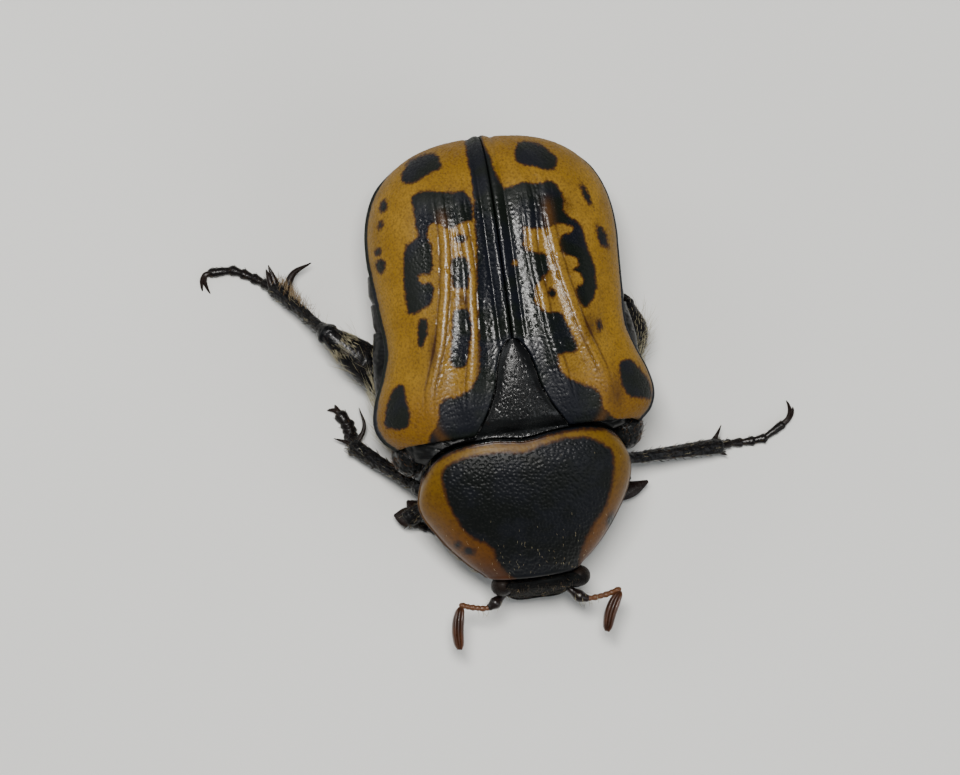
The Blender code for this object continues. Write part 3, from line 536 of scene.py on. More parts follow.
class Nodes:
    """A material's node tree, built call by call."""

    def __init__(self, name):
        self.material = bpy.data.materials.new(name)
        self.material.use_nodes = True
        self.tree = self.material.node_tree
        self.shader = self.tree.nodes["Principled BSDF"]
        place = self.add("ShaderNodeTexCoord").outputs["Object"]
        to_mm = self.add("ShaderNodeVectorMath", {0: place, "Scale": 1.0 / MM}, operation="SCALE")
        self.place = to_mm.outputs[0]

    def add(self, kind, inputs=(), **settings):
        node = self.tree.nodes.new(kind)
        for name, value in settings.items():
            setattr(node, name, value)
        for key, value in dict(inputs).items():
            self.put(node.inputs[key], value)
        return node

    def put(self, socket, value):
        if isinstance(value, bpy.types.NodeSocket):
            self.tree.links.new(value, socket)
        else:
            socket.default_value = value

    def math(self, operation, *values):
        return self.add("ShaderNodeMath", dict(enumerate(values)), operation=operation).outputs[0]

    def times(self, a, b):
        return self.math("MULTIPLY", a, b)

    def plus(self, a, b):
        return self.math("ADD", a, b)

    def attribute(self, name):
        return self.add("ShaderNodeAttribute", attribute_name=name).outputs["Fac"]

    def noise(self, scale, detail, stretch=None):
        place = self.place
        if stretch:
            place = self.add("ShaderNodeVectorMath", {0: place, 1: stretch}, operation="MULTIPLY").outputs[0]
        sockets = {"Vector": place, "Scale": scale, "Detail": detail}
        return self.add("ShaderNodeTexNoise", sockets).outputs["Fac"]

    def cells(self, scale, *limits):
        """Round cells of one scale, read through range()."""
        node = self.add("ShaderNodeTexVoronoi", {"Vector": self.place, "Scale": scale})
        return self.range(node.outputs["Distance"], *limits)

    def range(self, value, start, end, low_value=0.0, high_value=1.0):
        return self.add("ShaderNodeMapRange", {0: value, 1: start, 2: end, 3: low_value, 4: high_value},
                        interpolation_type="SMOOTHSTEP").outputs[0]

    def patches(self, scale, detail, start, end, share=1.0):
        """Uneven patches from 0 to a share."""
        return self.range(self.noise(scale, detail), start, end, 0.0, share)

    def mix(self, factor, a, b):
        node = self.add("ShaderNodeMix", data_type="RGBA")
        for socket, value in zip((node.inputs[0], node.inputs[6], node.inputs[7]), (factor, a, b)):
            self.put(socket, (*value, 1.0) if isinstance(value, tuple) else value)
        return node.outputs[2]

    def bump(self, height, distance, strength=1.0):
        """Adds to the shader's bump; distance is in millimetres."""
        inputs = {"Height": height, "Distance": distance * MM, "Strength": strength}
        if self.shader.inputs["Normal"].links:
            inputs["Normal"] = self.shader.inputs["Normal"].links[0].from_socket
        self.put(self.shader.inputs["Normal"], self.add("ShaderNodeBump", inputs).outputs["Normal"])

    def ragged(self, coarse, fine):
        """The black marks' depth in the photograph's pixels, with wide waves and small teeth at its edges."""
        waves = self.times(self.math("SUBTRACT", self.noise(4.5, 1.0), 0.5), coarse)
        teeth = self.times(self.math("SUBTRACT", self.noise(15.0, 3.0), 0.5), fine * 2)
        return self.plus(self.attribute("mark"), self.plus(waves, teeth))

    def speckled(self, tint, specks, size, mottles):
        """Brown specks in the pits and brown mottles between them."""
        tint = self.mix(self.cells(12.0, 0.15, 0.42, specks, 0.0), tint, RIM_BROWN)
        return self.mix(self.patches(size, 4.0, 0.42, 0.68, mottles), tint, RIM_BROWN)

    def marked(self, mark, brown_edge, black_edge, tint, black):
        """The marks' black on a tint, with a brown edge between them."""
        colour = self.mix(self.range(mark, *brown_edge), tint, RIM_BROWN)
        return self.mix(self.range(mark, *black_edge), colour, black)

    def rusty(self, scale, blacks, rust, share):
        """Black horn with a little rust."""
        colour = self.mix(self.patches(scale, 4.0, 0.35, 0.7), *blacks)
        return self.mix(self.patches(5.0, 3.0, 0.62, 0.8, share), colour, rust)

    def finish(self, colour, roughness, coat, gloss, coat_roughness=0.15):
        """Sets the shader; coat is the coat's weight and gloss the specular level."""
        self.put(self.shader.inputs["Base Color"], colour)
        self.put(self.shader.inputs["Roughness"], roughness)
        for name, value in (("Coat Weight", coat), ("Coat Roughness", coat_roughness),
                            ("Specular IOR Level", gloss)):
            self.shader.inputs[name].default_value = value
        return self.material


def wing_material():
    n = Nodes("wing_case_horn")
    gloss, dark = n.attribute("gloss"), n.attribute("dark")
    tint = n.mix(n.patches(1.6, 3.0, 0.35, 0.68), OCHRE, OCHRE_PALE)
    tint = n.mix(n.attribute("warm"), tint, OCHRE_DEEP)
    # Painted sheen: where the horn is glossy, its ochre is mixed towards a paler grey
    tint = n.speckled(n.mix(n.times(gloss, 0.35), tint, OCHRE_PAINTED_SHEEN), 0.3, 20.0, 0.38)
    # dark holds painted shade in the rib grooves and brown smudges of the horn itself, both mixed towards rim
    # brown
    patchy = n.plus(dark, n.times(n.noise(7.0, 3.0), dark))
    tint = n.mix(n.times(patchy, 0.42), tint, RIM_BROWN)
    black = n.mix(n.patches(1.3, 2.0, 0.4, 0.6), *WING_BLACKS)
    black = n.mix(n.times(n.attribute("veil"), 0.8), black, VEIL_BROWN)
    colour = n.marked(n.ragged(4.0, 2.3), (-2.4, 0.4), (-0.2, 1.5), tint, black)
    rough = n.plus(n.range(gloss, 0.0, 1.0, 0.55, 0.17), n.patches(26.0, 3.0, 0.35, 0.68, 0.2))
    n.bump(n.times(n.noise(30.0, 3.0), n.math("SUBTRACT", 1.0, gloss)), 0.008)
    n.bump(n.noise(90.0, 2.0), 0.001)
    return n.finish(colour, rough, 0.01, 0.23)


def pronotum_material():
    n = Nodes("pronotum_horn")
    tint = n.mix(n.attribute("warm"), SHIELD_OCHRE, SHIELD_BROWN)
    tint = n.speckled(n.mix(n.attribute("dark"), tint, SHIELD_RUST), 0.35, 9.0, 0.3)
    black = n.mix(n.patches(1.6, 2.0, 0.4, 0.62), *SHIELD_BLACKS)
    colour = n.marked(n.ragged(3.0, 2.0), (-3.6, -0.4), (-1.2, 1.6), tint, black)
    rough = n.plus(0.36, n.times(n.noise(22.0, 2.0), 0.14))
    rough = n.math("SUBTRACT", rough, n.times(n.attribute("shine"), 0.28))
    n.bump(n.noise(60.0, 2.0), 0.002)
    return n.finish(colour, rough, 0.02, 0.18, 0.2)


def black_material(name, roughness, gloss=0.2, coat=0.03):
    n = Nodes(name)
    colour = n.rusty(2.4, PLATE_BLACKS, PLATE_RUST, 0.25)
    rough = n.plus(roughness, n.times(n.math("SUBTRACT", n.noise(14.0, 3.0), 0.5), 0.25))
    n.bump(n.noise(40.0, 3.0), 0.004)
    return n.finish(colour, rough, coat, gloss)


def eye_material():
    n = Nodes("compound_eye")
    colour = n.mix(n.patches(4.0, 2.0, 0.4, 0.65), *EYE_BLACKS)
    n.bump(n.cells(42.0, 0.0, 0.5, 1.0, 0.0), 0.006, 0.9)
    return n.finish(colour, n.cells(42.0, 0.2, 0.55, 0.3, 0.5), 0.02, 0.1, 0.2)


def feeler_material():
    n = Nodes("feeler_horn")
    colour = n.mix(n.patches(3.0, 3.0, 0.35, 0.65), *FEELER_REDS)
    colour = n.mix(n.attribute("pale"), colour, FEELER_PALE)
    colour = n.mix(n.attribute("dark"), colour, FEELER_DARK)
    streak = n.range(n.noise(9.0, 2.0, (1.0, 0.25, 1.0)), 0.5, 0.75, 0.0, 0.35)
    colour = n.mix(streak, colour, FEELER_STREAK)
    n.bump(n.noise(70.0, 2.0), 0.002)
    return n.finish(colour, n.plus(0.22, n.times(n.noise(24.0, 2.0), 0.15)), 0.06, 0.36, 0.12)


def leg_material():
    n = Nodes("leg_horn")
    colour = n.mix(n.attribute("brown"), n.rusty(3.5, LEG_BLACKS, LEG_RUST, 0.2), LEG_BROWN)
    n.bump(n.noise(34.0, 3.0), 0.006)
    return n.finish(colour, n.plus(0.16, n.times(n.noise(16.0, 3.0), 0.2)), 0.03, 0.22, 0.12)


def hair_material():
    n = Nodes("fine_hair")
    tint = n.attribute("tint")
    colour = n.mix(n.range(tint, 0.0, 0.5), HAIR_PALE, HAIR_ORANGE)
    colour = n.mix(n.range(tint, 0.5, 1.0), colour, HAIR_DARK)
    colour = n.mix(n.patches(6.0, 2.0, 0.4, 0.7, 0.35), colour, HAIR_SHADE)
    return n.finish(colour, n.plus(0.4, n.times(n.noise(12.0, 1.0), 0.15)), 0.0, 0.12, 0.03)


# Wing cases

WING_COLUMNS, INNER_COLUMNS = 220, 14
WING_FRONT_ROWS, WING_REAR_ROWS = 230, 170
WING_THICKNESS = 0.22
SUTURE_GAP = 0.008
EDGE_ROLL, SUTURE_ROLL = 0.06, 0.04
RIB_GROOVE = 0.12
PIT_ROWS = (0, 5, 8, 17)
# Fields of pits: spacing, size, seed, jitter, share kept and crescent
ROW_PITS = ((1.0, 0.11), (0.24, 0.045), SEED, 0.6, 0.75, 0.9)
FINE_PITS = ((0.075, 0.085), (0.026, 0.03), SEED + 1, 0.95, 0.85)
# Wide swellings: x, y, their spreads and height
WING_LUMPS = ((2.45, 1.0, 0.34, 0.5, 0.06), (1.55, 5.6, 0.4, 0.4, 0.05))
BLACK, DEEPEST = 20.0, 30.0
PIXELS_PER_MM = 45.0

# Outlines of the black marks, spots and gaps in them, in the photograph's pixels
RIGHT_WING = {
    "outlines": (
        ((465, 128), (465, 139), (467, 155), (470, 171), (472, 183), (474, 200), (474, 222), (477, 240),
         (477, 281), (478, 310), (479, 340), (480, 372), (475, 384), (466, 394), (459, 398), (441, 398),
         (438, 426), (430, 436), (424, 470), (620, 470), (620, 128)),
        ((413, 195), (421, 191), (442, 193), (470, 191), (474, 222), (466, 220), (447, 230), (441, 222),
         (428, 223), (427, 236), (431, 246), (433, 273), (419, 274), (419, 283), (433, 284), (433, 303),
         (409, 317), (406, 300), (404, 284), (404, 246), (414, 241), (419, 236), (415, 222), (412, 201)),
        ((418, 320), (425, 318), (428, 325), (426, 338), (420, 349), (418, 340)),
        ((450, 263), (454, 258), (468, 257), (469, 272), (469, 287), (462, 289), (452, 287)),
        ((453, 314), (459, 309), (470, 309), (471, 332), (469, 352), (466, 365), (459, 368), (450, 367),
         (452, 342)),
        ((402, 174), (407, 163), (420, 155), (437, 153), (442, 169), (428, 173), (417, 182), (402, 184)),
        ((402, 382), (391, 393), (387, 407), (384, 428), (396, 430), (409, 427), (409, 410), (405, 394)),
    ),
    "spots": ((383, 206, 3.2, 6, 20), (380, 225, 2.4, 4, 10), (380, 266, 4.5, 6.5, 0),
              (378, 252, 2.6, 3.5, 0), (461, 239, 5, 3.6, 0)),
}
LEFT_WING = {
    "outlines": (
        ((380, 128), (481, 128), (481, 139), (489, 155), (494, 169), (498, 179), (506, 190), (522, 224),
         (524, 232), (524, 250), (534, 253), (547, 254), (549, 262), (548, 272), (541, 279), (535, 286),
         (534, 298), (539, 309), (547, 312), (562, 313), (565, 323), (577, 343), (577, 352), (566, 352),
         (556, 356), (558, 364), (563, 374), (571, 381), (590, 387), (600, 393), (602, 401), (603, 410),
         (616, 419), (622, 432), (640, 470), (380, 470)),
        ((502, 188), (511, 187), (524, 182), (540, 184), (550, 181), (557, 185), (561, 193), (564, 199),
         (562, 208), (567, 215), (575, 221), (581, 225), (584, 235), (588, 250), (593, 262), (596, 280),
         (596, 291), (592, 300), (586, 309), (578, 300), (576, 287), (584, 283), (581, 272), (573, 271),
         (573, 269), (580, 266), (578, 257), (562, 254), (559, 240), (564, 234), (574, 231), (572, 225),
         (558, 223), (548, 226), (536, 229), (524, 226), (506, 222)),
        ((515, 151), (520, 141), (536, 143), (552, 152), (558, 162), (552, 171), (536, 166), (522, 164),
         (515, 160)),
        ((619, 364), (627, 358), (635, 363), (643, 372), (650, 385), (653, 399), (640, 398), (629, 396),
         (622, 384)),
    ),
    "spots": ((585.5, 194.5, 2.6, 9, -28), (602, 236.5, 3.6, 12, -20), (599, 325, 2.5, 4.5, -15),
              (552, 293, 3, 4.5, -15)),
    "gaps": ((515.5, 263.5, 3, 3, 0),),
}
# Brown smudges in the ochre: middle, half width and half height
WING_SMUDGES = ((533, 364, 12, 13), (617, 391, 8, 18), (545, 270, 8, 12), (433, 350, 5, 22),
                (590, 326, 7, 14), (462, 300, 7, 7), (415, 300, 7, 10), (566, 205, 7, 8))


def mark_values(points, outlines, spots, gaps=()):
    """How deep points lie in the black marks, in the photograph's pixels."""
    at = photo_pixels(points.reshape(-1, 3))
    mark = np.full(len(at), -DEEPEST)
    for outline in outlines:
        corners = np.array(outline, float)
        after = np.roll(corners, -1, axis=0)
        cut = np.stack([corners * 0.75 + after * 0.25, corners * 0.25 + after * 0.75], axis=1)
        mark = np.maximum(mark, signed_distance(cut.reshape(-1, 2), at))
    for spot in spots:
        mark = np.maximum(mark, spot_distance(spot, at))
    for gap in gaps:
        mark = np.minimum(mark, -spot_distance(gap, at))
    return np.clip(mark, -DEEPEST, DEEPEST).reshape(points.shape[:-1])


def wing_rows():
    """Y of the rows of points, even along the wing case and round its rear."""
    turn = np.linspace(0.0, math.pi / 2, 6)
    front = ELYTRA_BASE + EDGE_ROLL * (1 - np.cos(turn))
    middle = np.linspace(front[-1], REAR_START, WING_FRONT_ROWS)
    angle = np.linspace(0.0, math.pi / 2, 2000)
    round_rear = np.stack([REAR_LENGTH * np.sin(angle) ** (2 / REAR_ROUNDNESS),
                           np.cos(angle) ** (2 / REAR_ROUNDNESS) * 1.7], axis=-1)
    rear = even_places(round_rear, WING_REAR_ROWS, 0.985)
    return np.concatenate([front[:-1], middle, REAR_START + rear[1:]])


def wing_relief(x, y, fraction):
    """How far the surface stands out: the ridge along the suture, grooves, bumps and rows of pits."""
    behind_scutellum = ramp(y, 1.7, 2.6)
    rise = behind_scutellum * (0.045 * bell(x - 0.08, 0.09) - 0.035 * bell(x - 0.27, 0.05))
    fade = ramp(y, 0.3, 1.2) * (1 - ramp(y, 5.2, 6.2))
    wear = ramp(noise(xyz(x, y * 0.8, 0.0), 0.17, SEED + 15), -0.3, 0.35)
    for rib in (0, 1):
        for side in (-1, 1):
            groove = bell(from_rib(rib, x, y) - side * RIB_GROOVE, 0.025)
            rise -= 0.016 * fade * (0.4 + 0.6 * wear) * groove
    for middle_x, middle_y, spread_x, spread_y, height in WING_LUMPS:
        rise += height * bell(x - middle_x, spread_x) * bell(y - middle_y, spread_y)
    rise -= 0.10 * bell(fraction - 0.84, 0.09) * bell(y - 2.3, 0.8)
    ribs = rib_place(fraction, y)
    inner = 1 - ramp(ribs, 2.15, 2.5) * (1 - 0.5 * ramp(1.6 - y, 0.0, 0.8))
    row = np.interp(ribs, (0, 1, 2, 3), PIT_ROWS)
    rows, fine = pits(row + 4, y, *ROW_PITS), pits(x + 4, y, *FINE_PITS)
    at_base = 1 - ramp(y, 0.9, 1.4)
    furrow = bell(row % 1.0 - 0.5 + 0.25 * (wear - 0.5), 0.2)
    rise -= (0.015 * rows * (0.45 + 0.55 * wear) + 0.003 * furrow * wear) * inner * ramp(y, 0.5, 1.1)
    rise -= fine * np.maximum(0.007 * (1 - 0.55 * inner), 0.011 * at_base)
    return rise + 0.002 * noise(xyz(x, y * 0.5, 0.0), 0.3, SEED + 2)


def wing_case(name, side, marks, material):
    """One wing case: a thin shell with rolled edges, finely shaped outside and plain inside."""
    y = wing_rows()
    angle = np.linspace(0.0, math.pi / 2, 500)
    across, height = np.sin(angle) ** (2 / DISC_FLATNESS), np.cos(angle) ** (2 / DISC_FLATNESS)
    width, crest, margin = elytra_width(y), elytra_crest(y), elytra_margin(y)
    inner = np.where(y > SCUTELLUM_TIP, SUTURE_GAP, np.maximum(SUTURE_GAP, smooth(SCUTELLUM_WIDTH, y) + 0.03))
    dense = np.stack([width[:, None] * across, margin[:, None] + (crest - margin)[:, None] * height], axis=-1)
    sections = []
    for row, start in zip(dense, inner):
        started = [(start, np.interp(start, row[:, 0], row[:, 1]))]
        line = np.concatenate([started, row[row[:, 0] > start]])
        sections.append(along(line, np.linspace(0.0, lengths(line)[-1], WING_COLUMNS)))
    x, z = np.moveaxis(np.array(sections), -1, 0)
    rows = y[:, None] + 0 * x
    fraction = np.clip(x / width[:, None], 0.0, 1.0)
    plain = xyz(x, rows, z + costa_height(fraction, rows))
    normal = upward(plain)
    to_margin = (1 - np.linspace(0.0, 1.0, WING_COLUMNS))[None] * np.linalg.norm(
        np.diff(plain, axis=1), axis=-1).sum(axis=1, keepdims=True)
    lift = wing_relief(x, rows, fraction) * ramp(to_margin, 0.02, 0.12)
    lift += 0.06 * bell(to_margin - 0.05, 0.06) * (1 - ramp(rows, 5.8, 6.4))
    outer = plain + normal * lift[..., None]
    for distance, roll in ((x - inner[:, None], SUTURE_ROLL), (rows - ELYTRA_BASE, EDGE_ROLL)):
        outer[..., 2] -= roll * (1 - np.sqrt(1 - np.clip((roll - distance) / roll, 0.0, 1.0) ** 2))
    rim_turn = np.linspace(0.25, 1.0, 4)[None, :, None] * math.pi / 2
    away = unit(normal[:, -1:] * (1.0, 1.0, 0.0))
    drop = (0.0, 0.0, EDGE_ROLL) * np.sin(rim_turn)
    rim = outer[:, -1:] - away * (EDGE_ROLL * (1 - np.cos(rim_turn))) - drop
    picked = np.linspace(WING_COLUMNS - 1, 0, INNER_COLUMNS).astype(int)
    inside = plain[:, picked] - normal[:, picked] * WING_THICKNESS
    shown = np.concatenate([outer, rim], axis=1) * (side, 1.0, 1.0)
    rings = np.concatenate([shown, inside * (side, 1.0, 1.0)], axis=1)
    bead = np.concatenate([to_margin, np.zeros((len(y), rim.shape[1]))], axis=1)
    row_y = y[:, None]
    bead_width = 0.17 + 0.12 * (1 - ramp(row_y, 0.9, 1.9)) * ramp(row_y, 0.2, 0.5)
    mark = np.maximum(mark_values(shown, **marks), (bead_width - bead) * PIXELS_PER_MM)
    shown_x, shown_y = np.abs(shown[..., 0]), shown[..., 1]
    central = 1 - ramp(shown_x / np.maximum(elytra_width(np.minimum(shown_y, REAR_START)), 0.1), 0.55, 0.8)
    out = [from_rib(rib, shown_x, shown_y) for rib in (0, 1)]
    ends = ramp(shown_y, 0.8, 1.6) * (1 - ramp(shown_y, 5.2, 5.8))
    # Painted shade: the grooves beside the ribs are darkened in the colour
    dark = ends * sum(bell(np.abs(place) - RIB_GROOVE, 0.03) for place in out)
    across, down = np.moveaxis(photo_pixels(shown), -1, 0)
    for middle_x, middle_y, half_width, half_height in WING_SMUDGES:
        dark = dark + bell(across - middle_x, half_width) * bell(down - middle_y, half_height)
    values = {
        # gloss: smoother horn in the middle of the wing case; it is also the mask of the painted sheen in the
        # colour
        "gloss": central * (1 - ramp(shown_y, 4.8, 5.8)) * (0.4 + 0.6 * ramp(shown_y, 0.9, 1.6)),
        "warm": np.clip(1 - ramp(shown_y, 0.6, 1.7) + 0.5 * ramp(shown_y, 5.8, 6.8), 0, 1),
        # dark: painted shade in the rib grooves, plus the brown smudges of the horn
        "dark": dark,
        "veil": bell(out[1], 0.12) * (1 - ramp(shown_y, 4.85, 5.3)),
    }
    return Shape().add(rings, mark=beside(mark, inside, BLACK), **{
        key: beside(value, inside) for key, value in values.items()}).build(name, material)


def beside(values, hidden, value=0.0):
    """Values of a skin's outer columns, with one value for its hidden ones."""
    return np.concatenate([values, np.full(hidden.shape[:2], value)], axis=1)


# Scutellum

SPARSE_PITS = ((0.11, 0.15), (0.024, 0.045), SEED + 3, 0.8, 0.8, 0.6)
DENSE_PITS = ((0.07, 0.075), (0.022, 0.025), SEED + 4, 0.9, 0.85)


def scutellum(name, material):
    """The smooth black triangle between the bases of the wing cases."""
    t = np.linspace(0.0, 1.0, 130)[:, None]
    half = smooth(SCUTELLUM_WIDTH, 0.1 + (SCUTELLUM_TIP - 0.1) * t)

    def surface(s):
        start = hind_margin(half * s) + 0.04
        y = start + (SCUTELLUM_TIP - start) * t
        return start, half * s, y, elytra_height(half * s, np.maximum(y, ELYTRA_BASE))

    s = np.linspace(-1.0, 1.0, 90)[None]
    start, x, y, z = surface(s)
    edge = np.minimum((1 - np.abs(s)) * half, (1 - t) * 2.0)
    z = z + 0.055 * (1 - s * s) - 0.035 * bell(edge, 0.1) - 0.12 * (1 - ramp(y - start, 0.0, 0.4))
    sparse, dense = pits(x + 5, y, *SPARSE_PITS), pits(x + 5, y, *DENSE_PITS)
    z = z - (0.012 * sparse + 0.008 * dense * (1 - ramp(y, 0.7, 1.3))) * ramp(edge, 0.06, 0.16)
    _, low_x, low_y, low_z = surface(np.linspace(1.0, -1.0, 12)[None])
    rings = np.concatenate([xyz(x, y, z), xyz(low_x, low_y, low_z - 0.35)], axis=1)
    return Shape().add(rings).build(name, material)


# Pronotum

PRONOTUM_MARKS = {
    "outlines": (
        ((441, 476), (449, 465), (467, 458), (494, 453), (524, 454), (539, 447), (551, 443), (571, 438),
         (587, 438), (600, 443), (613, 451), (613, 478), (606, 506), (590, 528), (577, 560), (582, 600),
         (535, 600), (520, 582), (508, 574), (499, 564), (493, 545), (468, 536), (449, 505)),
    ),
    "spots": ((458, 545, 2.6, 2.2, 0), (469, 551, 4.2, 3, 10), (611, 521, 3.4, 6, 15)),
}
PRONOTUM_ROWS, PRONOTUM_COLUMNS, PRONOTUM_UNDER = 300, 400, 60
PRONOTUM_ROLL = 0.05
SHIELD_PITS = ((0.076, 0.084), (0.034, 0.038), SEED + 5, 0.9, 0.93)


def pronotum_side(v, s, upper):
    """Points of the upper or lower surface of the front thorax."""
    top, edge, floor = (smooth(line, v) for line in (PRONOTUM_TOP, PRONOTUM_EDGE, PRONOTUM_FLOOR))
    if upper:
        z = edge + MARGIN_BEAD + (top - edge - MARGIN_BEAD) * dome(s, PRONOTUM_FULLNESS)
    else:
        z = edge - MARGIN_BEAD - (edge - MARGIN_BEAD - floor) * dome(s, PRONOTUM_KEEL)
    x = smooth(PRONOTUM_WIDTH, v) * s
    return xyz(x, hind_margin(x) * (1 - v) + neck_plane(z) * v ** 4 - PRONOTUM_LENGTH * (v - v ** 4), z)


def even_arc(count, fullness):
    """Places from -1 to 1 that are even along a dome's curve."""
    angle = np.linspace(-math.pi / 2, math.pi / 2, 4000)
    arc = [power(np.sin(angle), 2 / fullness), 0.7 * np.abs(np.cos(angle)) ** (2 / fullness)]
    return even_places(np.stack(arc, axis=-1), count)


def pronotum_skin(v, columns, under):
    """The shield and the breast ring under it."""
    return (pronotum_side(v, even_arc(columns, PRONOTUM_FULLNESS)[None], True),
            pronotum_side(v, even_arc(under, PRONOTUM_KEEL)[None, ::-1], False))


def pronotum(name, material):
    """The pronotum, a pitted shield with a beaded edge, and the breast ring under it."""
    roll = PRONOTUM_ROLL / PRONOTUM_LENGTH
    v = np.concatenate([roll * (1 - np.cos(np.linspace(0.0, math.pi / 2, 6)))[:-1],
                        np.linspace(roll, 1.0, PRONOTUM_ROWS)])[:, None]
    grid, below = pronotum_skin(v, PRONOTUM_COLUMNS, PRONOTUM_UNDER)
    steps = np.linalg.norm(np.diff(grid, axis=1), axis=-1)
    length = np.concatenate([np.zeros((len(v), 1)), np.cumsum(steps, axis=1)], axis=1)
    to_side = np.minimum(length, length[:, -1:] - length)
    to_hind, to_front = v * PRONOTUM_LENGTH, (1 - v) * PRONOTUM_LENGTH
    x, y = grid[..., 0], grid[..., 1]
    pit = pits(x + 8, y * 1.03 + x * 0.15 + 8, *SHIELD_PITS)
    pit = pit * ramp(to_side, 0.06, 0.2) * ramp(to_hind, 0.06, 0.16) * ramp(to_front, 0.04, 0.14)
    lift = -0.012 * pit * (0.15 + 0.85 * ramp(mark_values(grid, **PRONOTUM_MARKS), -1.0, 3.0))
    lift += 0.006 * noise(grid, 0.5, SEED + 7)
    lift += 0.026 * bell(to_side - 0.05, 0.035) - 0.016 * bell(to_side - 0.13, 0.045)
    lift += 0.014 * bell(to_front - 0.05, 0.04) + 0.014 * bell(to_hind - 0.05, 0.03)
    top = grid + upward(grid) * lift[..., None]
    hind_roll = np.clip((PRONOTUM_ROLL - to_hind) / PRONOTUM_ROLL, 0.0, 1.0)
    top[..., 2] -= PRONOTUM_ROLL * (1 - np.sqrt(1 - hind_roll ** 2))
    rim = np.maximum(0.07 - to_hind, 0.045 - to_side) * PIXELS_PER_MM
    mark = np.maximum(mark_values(top, **PRONOTUM_MARKS), rim)
    shape = Shape().add(np.concatenate([top, below], axis=1), mark=beside(mark, below, BLACK),
                        warm=beside(ramp(-y, 0.2, 2.4), below),
                        dark=beside(ramp(-y, 2.3, 2.9) * 0.9 + 0.5 * bell(x, 0.6) * bell(y, 0.3), below),
                        shine=beside(ramp(0.11 - to_hind, 0.0, 0.04) + 0 * x, below))
    for side in (-1, 1):
        shape.add(mirrored_ball(FRONT_COXA, side, 48, 0.008), mark=BLACK)
    return shape.build(name, material)


def mirrored_ball(lump, side, sides, depth):
    """A rounded lump on one side, given by its place and half axes."""
    (x, y, z), size = lump
    return ball((side * x, y, z), size, sides, horny(depth))


def horny(depth):
    """A relief of small lumps and pits for a limb or a knob."""
    def relief(angle, length, points):
        pit = pits(angle * 0.3 + 3, length + 0 * angle + 3, (0.1, 0.11), (0.035, 0.04), SEED + 8, 0.9, 0.8)
        return depth * noise(points, 0.16, SEED + 9) - 1.4 * depth * pit
    return relief


# Rear thorax, abdomen and pygidium

UPPER_ACROSS = np.linspace(-0.97, 0.97, 220)
FLANK_POINTS, BELLY_POINTS = 14, 110
# The rounded plate of the flank that fills the corner between pronotum and wing case
SHOULDER = ((2.44, 0.02, 2.5), (0.36, 0.46, 0.5))
SHOULDER_GRAIN = (100, 0.026)


def body_ring(y, shrink=0.0):
    """Sections of the body: the flat dome under the wing cases, round flanks and the belly."""
    y = np.asarray(y, float)[:, None]
    width = smooth(BODY_WIDTH, y) - shrink
    bottom = smooth(BODY_BOTTOM, y) + shrink
    under = np.maximum(y, ELYTRA_BASE)
    waist = elytra_margin(under) - GAP - LEDGE_STEP
    inner = np.minimum(width, elytra_width(under)) - LEDGE_WIDTH
    upper_x = inner * UPPER_ACROSS[None]
    upper_z = np.maximum(waist, elytra_height(upper_x, under) - UNDER_SHELL)
    turn = np.linspace(0.0, 1.0, FLANK_POINTS)[None] * math.pi / 2
    flank_x = inner * 0.98 + (width - inner * 0.98) * np.sin(turn)
    flank_z = waist - FLANK_DROP * (1 - np.cos(turn))
    across = even_arc(BELLY_POINTS, BELLY_FULLNESS)[None, ::-1]
    lower_z = waist - FLANK_DROP - (waist - FLANK_DROP - bottom) * dome(across, BELLY_FULLNESS)
    xs = np.concatenate([upper_x, flank_x[:, 1:], (width * across)[:, 1:-1], -flank_x[:, :0:-1]], axis=1)
    zs = np.concatenate([upper_z, flank_z[:, 1:], lower_z[:, 1:-1], flank_z[:, :0:-1]], axis=1)
    return xyz(xs, y, zs)


def pitted(rings, depth, spacing, seed):
    """Pits over the rings of a body section, pressed in along their normals."""
    normal = normals_of(rings)
    normal *= np.sign(np.einsum("ijk,ijk->", normal, rings - rings.mean(axis=(0, 1))))
    steps = np.linalg.norm(np.diff(rings, axis=1), axis=-1).mean(axis=0)
    around = np.concatenate([[0.0], np.cumsum(steps)])[None] + 0 * rings[..., 1]
    size = (spacing[0] * 0.38, spacing[1] * 0.36)
    pit = pits(around, rings[..., 1] + 5, spacing, size, seed, 0.85, 0.85)
    return rings + normal * (depth * (0.5 * noise(rings, 0.25, seed + 1) - pit))[..., None]


def thorax(name, material):
    """The rear thorax with its breast plates and coxae, sloping down in front to the pronotum."""
    y = np.linspace(0.0, THORAX_END, 150)
    fade = np.maximum(0.0, 1.0 - y / THORAX_FADE)[:, None]
    rings = body_ring(y - THORAX_FRONT * fade[:, 0])
    x, z = rings[..., 0], rings[..., 2]
    edge, top = PRONOTUM_EDGE[0][1], PRONOTUM_TOP[0][1]
    collar = edge + (top - edge) * dome(np.minimum(1.0, np.abs(x) / HIND_CORNER_WIDTH), PRONOTUM_FULLNESS)
    sloped = z + (np.minimum(z, collar - COLLAR_STEP) - z) * fade ** 2
    upper = np.ones(rings.shape[1], bool)
    upper[len(UPPER_ACROSS) + FLANK_POINTS - 1:-(FLANK_POINTS - 1)] = False
    rings = xyz(x, y[:, None] + (hind_margin(x) + GAP) * fade, np.where(upper[None], sloped, z))
    shape = Shape().add(pitted(rings, 0.026, (0.12, 0.13), SEED + 10))
    for lump, grain in ((MIDDLE_COXA, (64, 0.012)), (HIND_COXA, (64, 0.012)), (SHOULDER, SHOULDER_GRAIN)):
        for side in (-1, 1):
            shape.add(mirrored_ball(lump, side, *grain))
    return shape.add(ball(*BREAST_KNOB, 48, horny(0.006))).build(name, material)


